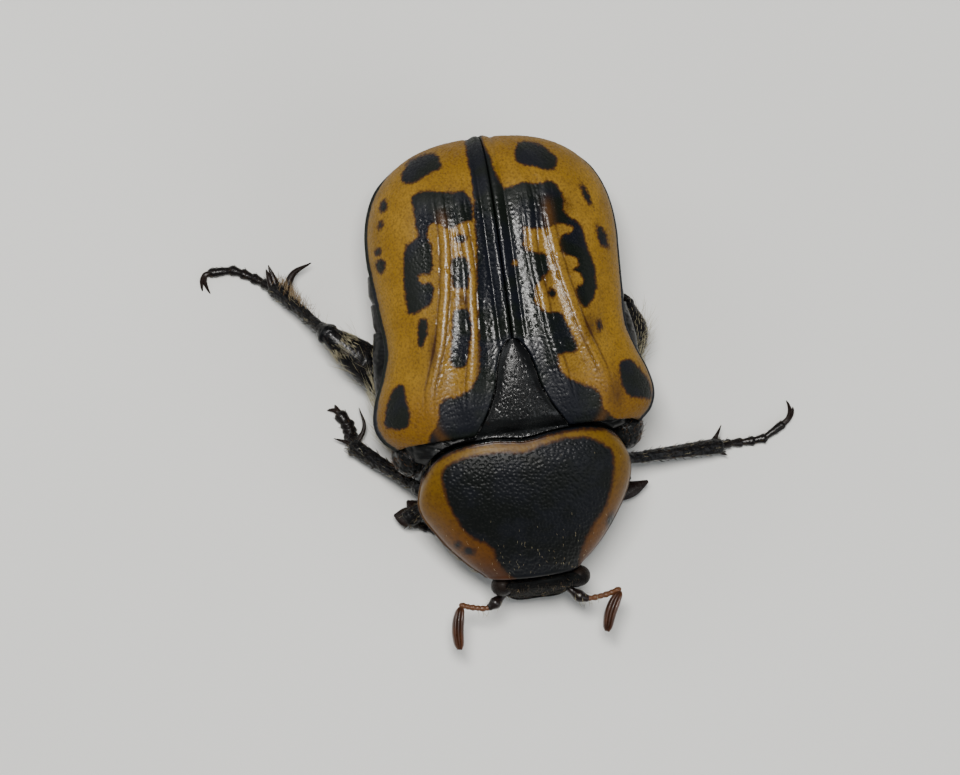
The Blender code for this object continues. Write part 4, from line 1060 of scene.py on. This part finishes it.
def abdomen_rings():
    """The abdomen, with each belly plate's hind edge standing over the next one."""
    y = np.linspace(ABDOMEN_START, ABDOMEN_END, 190)
    part = (y - ABDOMEN_START) / (ABDOMEN_END - ABDOMEN_START) * SEGMENTS % 1.0
    shrink = SEGMENT_GROOVE * (1 - ramp(part, 0.0, 0.35)) + 0.015 * ramp(part, 0.93, 1.0)
    return pitted(body_ring(y, shrink[:, None]), 0.012, (0.14, 0.15), SEED + 12)


def pygidium_rings():
    """The last plate of the back, which bulges below the tips of the wing cases."""
    start = ABDOMEN_END + 0.02
    x, _, z = body_ring([start], SEGMENT_GROOVE)[0].T
    z = np.minimum(z, elytra_margin(start) - GAP - LEDGE_STEP)
    reach = np.sin(np.linspace(0.0, 1.0, 90) * PYGIDIUM_CLOSING * math.pi / 2)[:, None]
    scale = dome(reach, PYGIDIUM_FULLNESS)
    rings = xyz(x * scale, start + (PYGIDIUM_END - start) * reach,
                PYGIDIUM_MIDDLE + (z - PYGIDIUM_MIDDLE) * scale)
    return pitted(rings, 0.012, (0.11, 0.11), SEED + 14)


# Head, eyes and feelers

# Paths of the head's small parts, from its own middle plane; the chin plate is a place with its half axes
LIP_PATH = ((-0.72, -3.2, 0.94), (-0.45, -3.31, 0.88), (0.0, -3.33, 0.9), (0.45, -3.31, 0.88),
            (0.72, -3.2, 0.94))
FACE_RIM = ((0.74, -3.2, 0.94), (0.8, -3.2, 1.2), (0.84, -3.2, 1.5))
CANTHUS = ((0.72, -3.2, 1.66), (0.88, -3.16, 1.74), (1.0, -3.08, 1.8))
PALP = ((0.38, -2.9, 0.94), (0.44, -3.0, 0.8), (0.48, -3.12, 0.7))
MAXILLA = ((0.28, -3.06, 0.92), (0.2, -3.18, 0.82))
CHIN = ((0.0, -2.88, 0.98), (0.44, 0.28, 0.13))
FACE_PITS = ((0.085, 0.085), (0.036, 0.036), SEED + 16, 0.8, 0.95)
SCAPE_END = 0.4
FEELER_JOINT = 0.066
CLUB_PLACES, CLUB_SWELL = (0.0, 0.08, 0.3, 0.6, 0.88, 1.0), (0.45, 0.75, 0.98, 1.0, 0.85, 0.5)
LEAF_STEP, LEAF_WIDTH, LEAF_DEPTH, LEAF_TONES = 0.072, 0.062, 0.15, (0.0, 0.35, 0.1)


def in_head(places, side=1):
    """Places given from the head's own middle plane, on either side of it."""
    return [(HEAD_SHIFT + side * x, y, z) for x, y, z in places]


def head_skin():
    """The head's own surface without its rims and mouth parts."""
    z = np.linspace(HEAD_LEVELS[0][0], HEAD_LEVELS[-1][0], 110)
    levels = [sorted((level[0], level[i]) for level in HEAD_LEVELS) for i in (1, 2, 3)]
    width, front, back = (smooth(stations, z)[:, None] for stations in levels)
    angle = np.linspace(math.pi, -math.pi, 170, endpoint=False)[None]
    across, depth = (power(wave, 2 / HEAD_ROUNDNESS) for wave in (np.cos(angle), np.sin(angle)))
    rings = xyz(HEAD_SHIFT + width * across, (front + back) / 2 - (back - front) / 2 * depth, z[:, None])
    around = np.cumsum(np.full(rings.shape[:2], 0.025), axis=1)
    pit = pits(around, rings[..., 2] + 4, *FACE_PITS)
    return rings + outward(rings) * (0.05 * noise(rings, 0.3, SEED + 17) - 0.012 * pit)[..., None]


def head(name, material):
    """The head, bent down, with its square clypeus, raised lip, chin plate, upper lip and palps."""
    shape = Shape().add(head_skin())
    shape.add(tube(in_head(LIP_PATH), [0.05, 0.06, 0.05, 0.06, 0.05], 20, 60, relief=horny(0.003)))
    for side in (-1, 1):
        rim, canthus, palp, maxilla = (in_head(path, side) for path in (FACE_RIM, CANTHUS, PALP, MAXILLA))
        shape.add(tube(rim, [0.05, 0.045, 0.03], 16, 30, up=(0, 1, 0), relief=horny(0.003)))
        shape.add(tube(canthus, [(0.1, 0.09), (0.12, 0.1), (0.08, 0.07)], 20, 24, relief=horny(0.008)))
        for path, sizes in ((palp[:2], [0.05, 0.06]), (palp[1:], [0.055, 0.045]), (maxilla, [0.09, 0.05])):
            shape.add(tube(path, sizes, 14, 12))
    (chin,) = in_head(CHIN[:1])
    return shape.add(ball(chin, CHIN[1], 48, horny(0.01))).build(name, material)


def eye(name, side, material):
    (place,) = in_head([EYE_PLACE], side)
    return Shape().add(ball(place, [half * 0.94 for half in EYE_SIZE], 72)).build(name, material)


def feelers(name, material):
    """Both feelers: a thick scape with its knob, small round joints and a closed club of three leaves."""
    shape = Shape()
    for side, path in STALKS.items():
        centre = curve(path, 200)

        def at(*fractions):
            return along(centre, np.array(fractions) * lengths(centre)[-1])

        scape = at(0.0, 0.14, 0.28, SCAPE_END)
        shape.add(tube(scape, [0.06, 0.09, 0.14, 0.09], 24, 30, relief=horny(0.004)), dark=0.95)
        joints = np.linspace(SCAPE_END, 1.0, 7)
        for i, (start, end) in enumerate(zip(joints, joints[1:])):
            size = FEELER_JOINT + 0.006 * (i % 2)
            pieces = at(start, start + (end - start) * 0.55, end - 0.01)
            shape.add(tube(pieces, [size * 0.75, size, size * 0.85], 16, 10), pale=1.0)
        for leaf, tone in zip(club_leaves(CLUBS[side]), LEAF_TONES):
            shape.add(leaf, dark=tone)
    return shape.build(name, material)


def club_leaves(path):
    """The three long leaves of a feeler's club, pressed together."""
    start, end = np.array(path[0]), np.array(path[-1])
    place, swell = np.array(CLUB_PLACES), np.array(CLUB_SWELL)
    sizes = [(LEAF_WIDTH * size, LEAF_DEPTH * size) for size in swell]
    leaves = []
    for leaf in (-1, 0, 1):
        aside = LEAF_STEP * leaf * swell + 0.05 * np.sin(place * math.pi)
        points = start + (end - start) * place[:, None] + sideways(end - start) * aside[:, None]
        leaves.append(tube(points, sizes, 22, 44, relief=horny(0.002)))
    return leaves


# Legs

# Half width and half height of thighs and shins, from root to end, and of knees, teeth and spurs
THIGH_SIZES = {
    "front": ((0.17, 0.16), (0.25, 0.2), (0.24, 0.19), (0.13, 0.13)),
    "middle": ((0.18, 0.17), (0.27, 0.22), (0.25, 0.2), (0.15, 0.14)),
    "hind": ((0.26, 0.22), (0.44, 0.3), (0.4, 0.3), (0.22, 0.2)),
}
SHIN_SIZES = {
    "front": ((0.1, 0.1), (0.13, 0.1), (0.17, 0.11), (0.2, 0.12)),
    "middle": ((0.1, 0.1), (0.13, 0.11), (0.15, 0.12), (0.18, 0.14)),
    "hind": ((0.14, 0.13), (0.12, 0.11), (0.13, 0.12), (0.17, 0.15)),
}
KNEE_SIZES = {"front": 0.17, "middle": 0.18, "hind": 0.26}
TOOTH_SIZES = {"front": (0.25, 0.08), "middle": (0.06, 0.055), "hind": (0.1, 0.085)}
JOINT_SIZES = ((0.065, 0.06), (0.085, 0.075), (0.11, 0.095))
CLAW_JOINT_SIZES = ((0.07, 0.065), (0.085, 0.08), (0.1, 0.09))
CLAW_SIZES = (0.07, 0.062, 0.052, 0.034, 0.014)
CLAW_PLACES = (0.0, 0.3, 0.6, 0.85, 1.0)
CLAW_REACH, CLAW_TIP = 0.62, 0.012
FOOT_HEIGHT = 0.11
FOOT_SHARES = (0.0, 0.17, 0.34, 0.51, 0.68, 1.0)
SHIN_PITS = ((0.07, 0.11), (0.028, 0.045), SEED + 20, 0.8, 0.85)


def leg_points(leg):
    return (np.array(leg[key]) for key in ("root", "knee", "ankle"))


def foot_points(leg):
    """The ends of a foot's joints: down from the ankle and then along the ground."""
    x, y, z = leg["ankle"]
    track = curve([(x, y), *leg["tarsus"]], 40)
    shares = np.array(FOOT_SHARES)
    drop = np.maximum(0.0, 1.0 - shares / 0.36) ** 1.6
    x, y = along(track, shares * lengths(track)[-1]).T
    return xyz(x, y, FOOT_HEIGHT + (z - 0.06 - FOOT_HEIGHT) * drop)


def sideways(direction):
    """The level unit direction to the right of another one."""
    return unit(np.cross(direction, (0.0, 0.0, 1.0)))


def tooth(start, end, size, bow=0.0):
    """A spine or spur that tapers to a point, bowed to one side."""
    start, end = np.array(start, float), np.array(end, float)
    middle = (start + end) / 2 + sideways(end - start) * bow
    sizes = [size, (size[0] * 0.75, size[1] * 0.8), (size[0] * 0.16, size[1] * 0.2)]
    return tube([start, middle, end], sizes, 14, 20, up=(0.1, 0.2, 1.0))


def thigh_skin(leg, kind):
    root, knee, _ = leg_points(leg)
    bow = np.array(leg.get("bow", (0.0, 0.0, 0.05)))
    path = [root, root * 0.65 + knee * 0.35 + bow, root * 0.3 + knee * 0.7 + bow, knee]
    return tube(path, leg.get("thigh", THIGH_SIZES[kind]), 48, 90, relief=horny(0.01))


def shin_skin(leg, kind):
    """A shin with ridges, pits and lumps."""
    def relief(angle, length, points):
        pit = pits(angle * 0.14 + 3, length + 0 * angle + 3, *SHIN_PITS)
        ridges = 0.012 * np.abs(np.sin(angle * 2.5)) ** 3
        return ridges + 0.01 * noise(points, 0.12, SEED + 21) - 0.018 * pit

    start, ankle = np.array(leg.get("shin_start", leg["knee"])), np.array(leg["ankle"])
    path = [start * (1 - t) + ankle * t for t in (0.02, 0.32, 0.67, 1.0)]
    return tube(path, SHIN_SIZES[kind], 40, 110, relief=relief)


def foot_skins(leg):
    """The five joints of a foot, each widening to its end."""
    points = foot_points(leg)
    skins = []
    for i, (start, end) in enumerate(zip(points, points[1:])):
        reach = end - start
        sizes = np.array(CLAW_JOINT_SIZES if i == len(points) - 2 else JOINT_SIZES) * leg.get("thick", 1.0)
        path = [start + reach * 0.03, start + reach * 0.5 + (0, 0, 0.01), end - reach * 0.04]
        skins.append(tube(path, [tuple(size) for size in sizes], 18, 16, relief=horny(0.004)))
    return skins


def leg_shape(leg, kind):
    """One leg: thigh, toothed shin with its spurs, five-jointed foot and two hooked claws."""
    root, knee, ankle = leg_points(leg)
    shape = Shape().add(thigh_skin(leg, kind))
    shape.add(ball(root, (0.24, 0.24, 0.2), 32, horny(0.01)))
    thick = KNEE_SIZES[kind] * leg.get("cap", 1.0)
    bend = [knee - (knee - root) * 0.02, knee + (ankle - knee) * 0.05, knee + (ankle - knee) * 0.14]
    bend_sizes = [(thick * 0.8, thick * 0.75), (thick, thick * 0.85), (thick * 0.62, thick * 0.6)]
    shape.add(tube(bend, bend_sizes, 30, 30, relief=horny(0.016)))
    shape.add(shin_skin(leg, kind))
    for start, end, bow in leg["teeth"]:
        shape.add(tooth(start, end, TOOTH_SIZES[kind], bow), brown=0.25)
    down = unit(ankle - knee)
    side = sideways(down)
    for lean in (-1, 1):
        start = ankle + side * 0.08 * lean - (0, 0, 0.05)
        end = start + down * 0.2 + side * 0.06 * lean - (0, 0, 0.1)
        shape.add(tooth(start, end, (0.03, 0.03)), brown=0.4)
    points = foot_points(leg)
    for skin in foot_skins(leg):
        shape.add(skin, brown=0.08)
    for start, end in zip(points, points[1:-1]):
        forward = unit(end - start)
        for lean in (-1, 1):
            base = end - forward * 0.06 + sideways(forward) * lean * 0.06 - (0, 0, 0.03)
            tip = base + forward * 0.1 + sideways(forward) * lean * 0.035 - (0, 0, 0.02)
            shape.add(tooth(base, tip, (0.016, 0.016)), brown=0.6)
    last = points[-1]
    forward = unit(last - points[-2]) * (1, 1, 0)
    for x, y in leg["claws"]:
        tip = np.array((x, y, CLAW_TIP))
        bend = last + forward * CLAW_REACH * np.linalg.norm(tip - last) + (0, 0, 0.03)
        arch = [last * (1 - t) ** 2 + bend * 2 * t * (1 - t) + tip * t ** 2 for t in CLAW_PLACES]
        shape.add(tube(arch, CLAW_SIZES, 14, 34), brown=0.3)
    return shape


# Hair

HAIR_RINGS, HAIR_SIDES = 3, 3
HAIR_PATCH = 0.003
UNWRAP_START, UNWRAP_SIZE = 0.02, 0.94
WHOLE, LOW_HALF, LOW_PART = (0.0, 0.0, 1.0, 1.0), (0.0, 0.0, 1.0, 0.5), (0.0, 0.0, 1.0, 0.6)
BACK = np.array((0.0, 1.0, -0.1))


def hair_pattern():
    """Corners of one hair's faces, and where each corner lies on the hair's patch of the unwrap."""
    tip = HAIR_RINGS * HAIR_SIDES
    faces = []
    for side in range(HAIR_SIDES):
        for ring in range(HAIR_RINGS - 1):
            faces.append([(ring, side), (ring + 1, side), (ring + 1, side + 1), (ring, side + 1)])
        faces.append([(HAIR_RINGS - 1, side), (HAIR_RINGS, side), (HAIR_RINGS - 1, side + 1)])
    faces.append([(0, side) for side in range(HAIR_SIDES)])
    corners = [corner for face in faces for corner in face]
    return (np.array([min(tip, ring * HAIR_SIDES + side % HAIR_SIDES) for ring, side in corners]),
            np.array([(side / HAIR_SIDES, ring / HAIR_RINGS) for ring, side in corners]),
            np.array([len(face) for face in faces]))


class Coat:
    """Hairs on the skin, each a thin bent cone of solid mesh that tapers to its tip."""

    def __init__(self, seed):
        self.draw = np.random.default_rng(seed)
        self.points, self.places, self.tints = [], [], []

    def add(self, grid, count, length, thick, lie, stand=0.4, weight=1.0, tint=0.0, part=WHOLE, stray=0.25):
        """Grows hairs on a ring-shaped skin. lie is the way that they point, stand how far they rise from
        the skin, weight where they grow, and part the share of the unwrap that this skin takes."""
        rows, columns = grid.shape[:2]
        across, down = np.roll(grid, -1, axis=1)[:-1] - grid[:-1], grid[1:] - grid[:-1]
        share = np.linalg.norm(np.cross(across, down), axis=-1)
        share = share * np.broadcast_to(weight, (rows, columns))[:-1]
        cell = self.draw.choice(share.size, count, p=(share / share.sum()).ravel())
        row, column = cell // columns, cell % columns
        a, b = self.draw.random((2, count, 1))
        root = grid[row, column] + across[row, column] * a + down[row, column] * b
        up = outward(grid)[row, column]
        wanted = np.broadcast_to(np.asarray(lie, float), grid.shape)[row, column]
        gust = np.stack([noise(root, 0.35, SEED + 40 + axis) for axis in range(3)], axis=-1)
        wanted = wanted + 0.3 * gust + self.draw.normal(0.0, stray, (count, 3))
        flat = unit(wanted - up * np.sum(wanted * up, axis=1, keepdims=True))
        rise = np.clip(stand + self.draw.normal(0.0, 0.12, (count, 1)), 0.05, 1.4)
        reach = length * self.draw.uniform(0.6, 1.15, (count, 1))
        radius = thick * self.draw.uniform(0.75, 1.2, (count, 1))
        centre = root - up * thick
        angle = np.arange(HAIR_SIDES)[:, None] * 2 * math.pi / HAIR_SIDES
        rings = []
        for ring in range(HAIR_RINGS + 1):
            t = ring / HAIR_RINGS
            way = flat * np.cos(rise * (1 - 0.7 * t)) + up * np.sin(rise * (1 - 0.7 * t))
            if ring:
                centre = centre + way * reach / HAIR_RINGS
            side = unit(np.cross(way, up))
            spoke = side[:, None] * np.cos(angle) + np.cross(side, way)[:, None] * np.sin(angle)
            rings.append(centre[:, None] + spoke * (radius * (1 - 0.55 * t ** 1.5))[:, None])
        self.points.append(np.concatenate([*rings[:-1], centre[:, None]], axis=1))
        u = part[0] + (part[2] - part[0]) * (column + a[:, 0]) / columns
        v = part[1] + (part[3] - part[1]) * (row + b[:, 0]) / rows
        self.places.append(UNWRAP_START + UNWRAP_SIZE * np.stack([u, v], axis=-1))
        self.tints.append(np.clip(tint + self.draw.normal(0.0, 0.06, count), 0.0, 1.0))
        return self

    def build(self, name, material):
        points = np.concatenate(self.points)
        count, each = points.shape[:2]
        corners, patch, sizes = hair_pattern()
        corners = (corners[None] + np.arange(count)[:, None] * each).ravel()
        unwrap = np.concatenate(self.places)[:, None] + HAIR_PATCH * (patch[None] - 0.5)
        tints = {"tint": np.repeat(np.concatenate(self.tints), each)}
        made = make_object(name, points.reshape(-1, 3), corners, np.tile(sizes, count), tints, material,
                           unwrap)
        return fit(made, "hair")


def side_share(rings):
    """How far to the side points of body rings lie, from 0 in the middle to 1."""
    return np.abs(rings[..., 0]) / rings[..., 0].max(axis=1, keepdims=True)


def grow_body_hair(material):
    """Long pale hair on the flanks and breast, shorter on the belly and the tail plate."""
    rings = body_ring(np.linspace(0.05, THORAX_END, 60))
    x, y, z = np.moveaxis(rings, -1, 0)
    flank = ramp(side_share(rings), 0.8, 0.97)
    long_hair = flank * ramp(2.4 - z, 0.0, 0.3) * (1 - ramp(y, 1.2, 1.8)) * ramp(z, 1.2, 1.9)
    outside = xyz(np.sign(x) * 0.55, 0.8, -0.15)
    coat = Coat(SEED + 50)
    coat.add(rings, 260, 0.7, 0.0045, outside, 0.5, long_hair, part=LOW_HALF)
    coat.add(rings, 260, 0.12, 0.004, outside, 0.4, flank * ramp(2.3 - z, 0.0, 0.2), 0.1, LOW_HALF)
    coat.add(rings, 3200, 0.3, 0.005, BACK, 0.4, ramp(2.0 - z, 0.0, 0.5), part=LOW_HALF)
    for side in (-1, 1):
        patch = (0.25 + 0.25 * side, 0.55, 0.45 + 0.25 * side, 0.95)
        lump = mirrored_ball(SHOULDER, side, *SHOULDER_GRAIN)
        coat.add(lump, 220, 0.14, 0.004, (side * 0.5, 0.6, 0.1), 0.5, tint=0.75, part=patch)
    coat.build("hair_breast", material)
    rings = abdomen_rings()
    z = rings[..., 2]
    coat = Coat(SEED + 51)
    weight = ramp(side_share(rings), 0.85, 0.98) * ramp(2.1 - z, 0.0, 0.3)
    coat.add(rings, 200, 0.1, 0.004, BACK, 0.4, weight, tint=0.1)
    coat.add(rings, 2200, 0.15, 0.005, BACK, 0.3, ramp(1.9 - z, 0.0, 0.4))
    coat.build("hair_belly", material)
    coat = Coat(SEED + 52)
    coat.add(pygidium_rings()[:-6], 900, 0.16, 0.007, (0.0, 0.3, -1.0), 0.5)
    coat.build("hair_tail", material)


def grow_front_hair(material):
    """Short hair on the head, and sparse bristles on the pronotum's front and beside the feelers."""
    skin = head_skin()
    coat = Coat(SEED + 53)
    front = ramp(-2.95 - skin[..., 1], 0.0, 0.2)
    coat.add(skin, 700, 0.1, 0.005, (0.0, -0.5, -0.6), 0.5, front, 1.0, LOW_PART)
    coat.add(skin, 30, 0.13, 0.004, (0.0, -0.7, -0.2), 0.6, front, 0.3, LOW_PART)
    for i, path in enumerate(STALKS.values()):
        stalk = tube(path[:3], [0.08, 0.13, 0.06], 16, 20)
        patch = (0.5 * i, 0.65, 0.4 + 0.5 * i, 0.95)
        coat.add(stalk, 26, 0.17, 0.004, (0.0, -1.0, 0.2), 0.9, tint=0.05, part=patch)
    coat.build("hair_head", material)
    rings = np.concatenate(pronotum_skin(np.linspace(0.02, 0.99, 80)[:, None], 120, 60), axis=1)
    upper = np.concatenate([np.ones(120), np.zeros(60)])[None]
    forward = ramp(-rings[..., 1], 1.5, 2.8)
    coat = Coat(SEED + 54)
    coat.add(rings, 120, 0.07, 0.0035, (0.0, -1.0, -0.1), 0.35, upper * (0.03 + forward), 0.15)
    under = (1 - upper) * ramp(2.3 - rings[..., 2], 0.0, 0.4)
    coat.add(rings, 2600, 0.32, 0.008, (0.0, 0.7, -0.4), 0.5, under)
    coat.build("hair_shield", material)


def grow_leg_hair(material):
    """Hair on the thighs, bristles along the shins and small ones under the feet."""
    for pair_index, pair in enumerate(("front", "middle", "hind")):
        coat = Coat(SEED + 60 + pair_index)
        for u, side in ((0.0, "right"), (0.5, "left")):
            leg = LEGS[f"{pair}_{side}"]
            root, knee, ankle = leg_points(leg)
            on_thigh, on_shin = (u, 0.0, u + 0.45, 0.3), (u, 0.35, u + 0.45, 0.6)
            skin = thigh_skin(leg, pair)
            down = unit(knee - root)
            place = np.clip(((skin - root) @ (knee - root)) / ((knee - root) @ (knee - root)), 0.0, 1.0)
            coat.add(skin, 260, 0.1, 0.0035, down + (0.0, 0.7, 0.0), 0.3, 0.3 + place, 0.85, on_thigh)
            out = np.sign(knee[0])
            if pair == "hind":
                middle, spread, count = leg["fur"]
                fur = bell(place - middle, spread)
                coat.add(skin, count, 0.16, 0.0035, -down + (0.0, -0.3, 0.1), 0.3, fur, 0.03, on_thigh)
                fringe = ramp(skin[..., 0] * out, 2.9, 3.2) * bell(place - 0.6, 0.3) + 0.005
                coat.add(skin, 45, 0.55, 0.0035, (out * 0.6, 0.9, 0.0), 0.6, fringe, part=on_thigh)
            skin = shin_skin(leg, pair)
            down = unit(ankle - knee)
            coat.add(skin, 240, 0.14, 0.007, down, 0.6, tint=1.0, part=on_shin)
            coat.add(skin, 24, 0.16, 0.0035, down, 0.6, tint=0.1, part=on_shin)
            if pair == "hind":
                inward = np.array((-0.8 * out, 0.55, 0.1))
                comb = ramp(outward(skin) @ inward, 0.1, 0.7)
                comb = comb * bell(np.linalg.norm(skin - ankle, axis=-1) - 0.6, 0.4)
                coat.add(skin, 150, 0.34, 0.005, inward + down * 0.5, 0.8, comb, 0.3, on_shin)
            for joint, skin in enumerate(foot_skins(leg)):
                low_v = 0.65 + 0.06 * joint
                forward = skin[-1].mean(axis=0) - skin[0].mean(axis=0)
                on_joint = (u, low_v, u + 0.45, low_v + 0.05)
                coat.add(skin, 24, 0.09, 0.005, forward, 0.6, tint=0.9, part=on_joint, stray=0.1)
        coat.build(f"hair_legs_{pair}", material)


# Stage

FLOOR_RADIUS = 0.4
# Soft oval lights: place and size in millimetres, power and colour
LIGHTS = {
    "key": ((-16.0, 16.0, 160.0), (30.0, 60.0), 0.30, (1.0, 0.98, 0.95)),
    "fill": ((120.0, -90.0, 130.0), (120.0, 120.0), 0.07, (0.93, 0.96, 1.0)),
    "rim": ((-120.0, 80.0, 110.0), (90.0, 90.0), 0.04, (0.95, 0.97, 1.0)),
}
SKY_COLOUR, SKY_STRENGTH = (0.86, 0.9, 0.95, 1.0), 0.18
NEAR, FAR = 0.01, 10.0


def to_row(point):
    return Vector((np.array(point, float) - MIDDLE) * MM)


def placed(name, data):
    made = bpy.data.objects.new(name, data)
    bpy.context.scene.collection.objects.link(made)
    return made


def make_stage():
    """A plain pale floor, soft lights and the camera at the photograph's view."""
    turn = np.linspace(0.0, 2 * math.pi, 96, endpoint=False)
    mesh = bpy.data.meshes.new("floor")
    ring = [(FLOOR_RADIUS * math.cos(a), FLOOR_RADIUS * math.sin(a), 0.0) for a in turn]
    mesh.from_pydata(ring, [], [list(range(len(ring)))])
    n = Nodes("floor_paint")
    colour = n.mix(n.patches(0.05, 3.0, 0.3, 0.7), *FLOOR_GREYS)
    mesh.materials.append(n.finish(colour, 0.7, 0.0, 0.5, 0.03))
    placed("floor", mesh)
    for name, (place, size, watts, colour) in LIGHTS.items():
        data = bpy.data.lights.new(name, "AREA")
        data.shape = "ELLIPSE"
        data.size, data.size_y = size[0] * MM, size[1] * MM
        data.energy, data.color = watts, colour
        light = placed(name, data)
        light.location = to_row(place)
        light.rotation_mode = "QUATERNION"
        light.rotation_quaternion = (to_row(VIEW_TARGET) - light.location).to_track_quat("-Z", "Y")
    world = bpy.data.worlds.new("studio")
    world.use_nodes = True
    sky = world.node_tree.nodes["Background"].inputs
    sky["Color"].default_value, sky["Strength"].default_value = SKY_COLOUR, SKY_STRENGTH
    bpy.context.scene.world = world
    data = bpy.data.cameras.new("camera")
    data.sensor_width = SENSOR_WIDTH
    data.lens = FOCAL_PIXELS * SENSOR_WIDTH / IMAGE_WIDTH
    data.clip_start, data.clip_end = NEAR, FAR
    camera = placed("camera", data)
    axes = np.stack([VIEW_RIGHT, VIEW_UP, VIEW_BACK], axis=1)
    camera.matrix_world = Matrix.Translation(to_row(VIEW_PLACE)) @ Matrix(axes.tolist()).to_4x4()
    bpy.context.scene.camera = camera


def fit(piece, slot, *nodes):
    """Hangs the piece on the root and hides the solids that it stands for; slot, the finish that it takes, is
    not used.
    """
    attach(piece, "root")
    if nodes:
        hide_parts(*nodes)
    return piece


def main():
    make_stage()
    sides = (("right", -1), ("left", 1))
    horn = wing_material()
    for (side, sign), marks in zip(sides, (RIGHT_WING, LEFT_WING)):
        fit(wing_case(f"wing_case_{side}", sign, marks, horn), "wing_case", f"elytron_{side}")
    glossy = black_material("scutellum_horn", 0.26, 0.32)
    fit(scutellum("scutellar_shield", glossy), "black_cuticle", "scutellum")
    fit(pronotum("pronotum_shield", pronotum_material()), "pronotum", "pronotum")
    plate = black_material("plate_horn", 0.36)
    fit(thorax("breast_plates", plate), "black_cuticle", "thorax")
    fit(Shape().add(abdomen_rings()).build("belly_plates", plate), "black_cuticle", "abdomen")
    fit(Shape().add(pygidium_rings()).build("tail_plate", plate), "black_cuticle", "pygidium")
    fit(head("head_capsule", black_material("head_horn", 0.65, 0.05, 0.0)), "black_cuticle", "head")
    facets = eye_material()
    for side, sign in sides:
        fit(eye(f"compound_eye_{side}", sign, facets), "eye", f"eye_{side}")
    nodes = [f"antenna_{part}_{side}" for part in ("stalk", "club") for side, _ in sides]
    fit(feelers("feelers", feeler_material()), "feeler", *nodes)
    leg_horn = leg_material()
    for leg_name, leg in LEGS.items():
        made = leg_shape(leg, leg_name.split("_")[0]).build("leg_" + leg_name, leg_horn)
        fit(made, "leg", *(f"{part}_{leg_name}" for part in ("femur", "tibia", "tarsus")))
    fine = hair_material()
    grow_body_hair(fine)
    grow_front_hair(fine)
    grow_leg_hair(fine)


main()
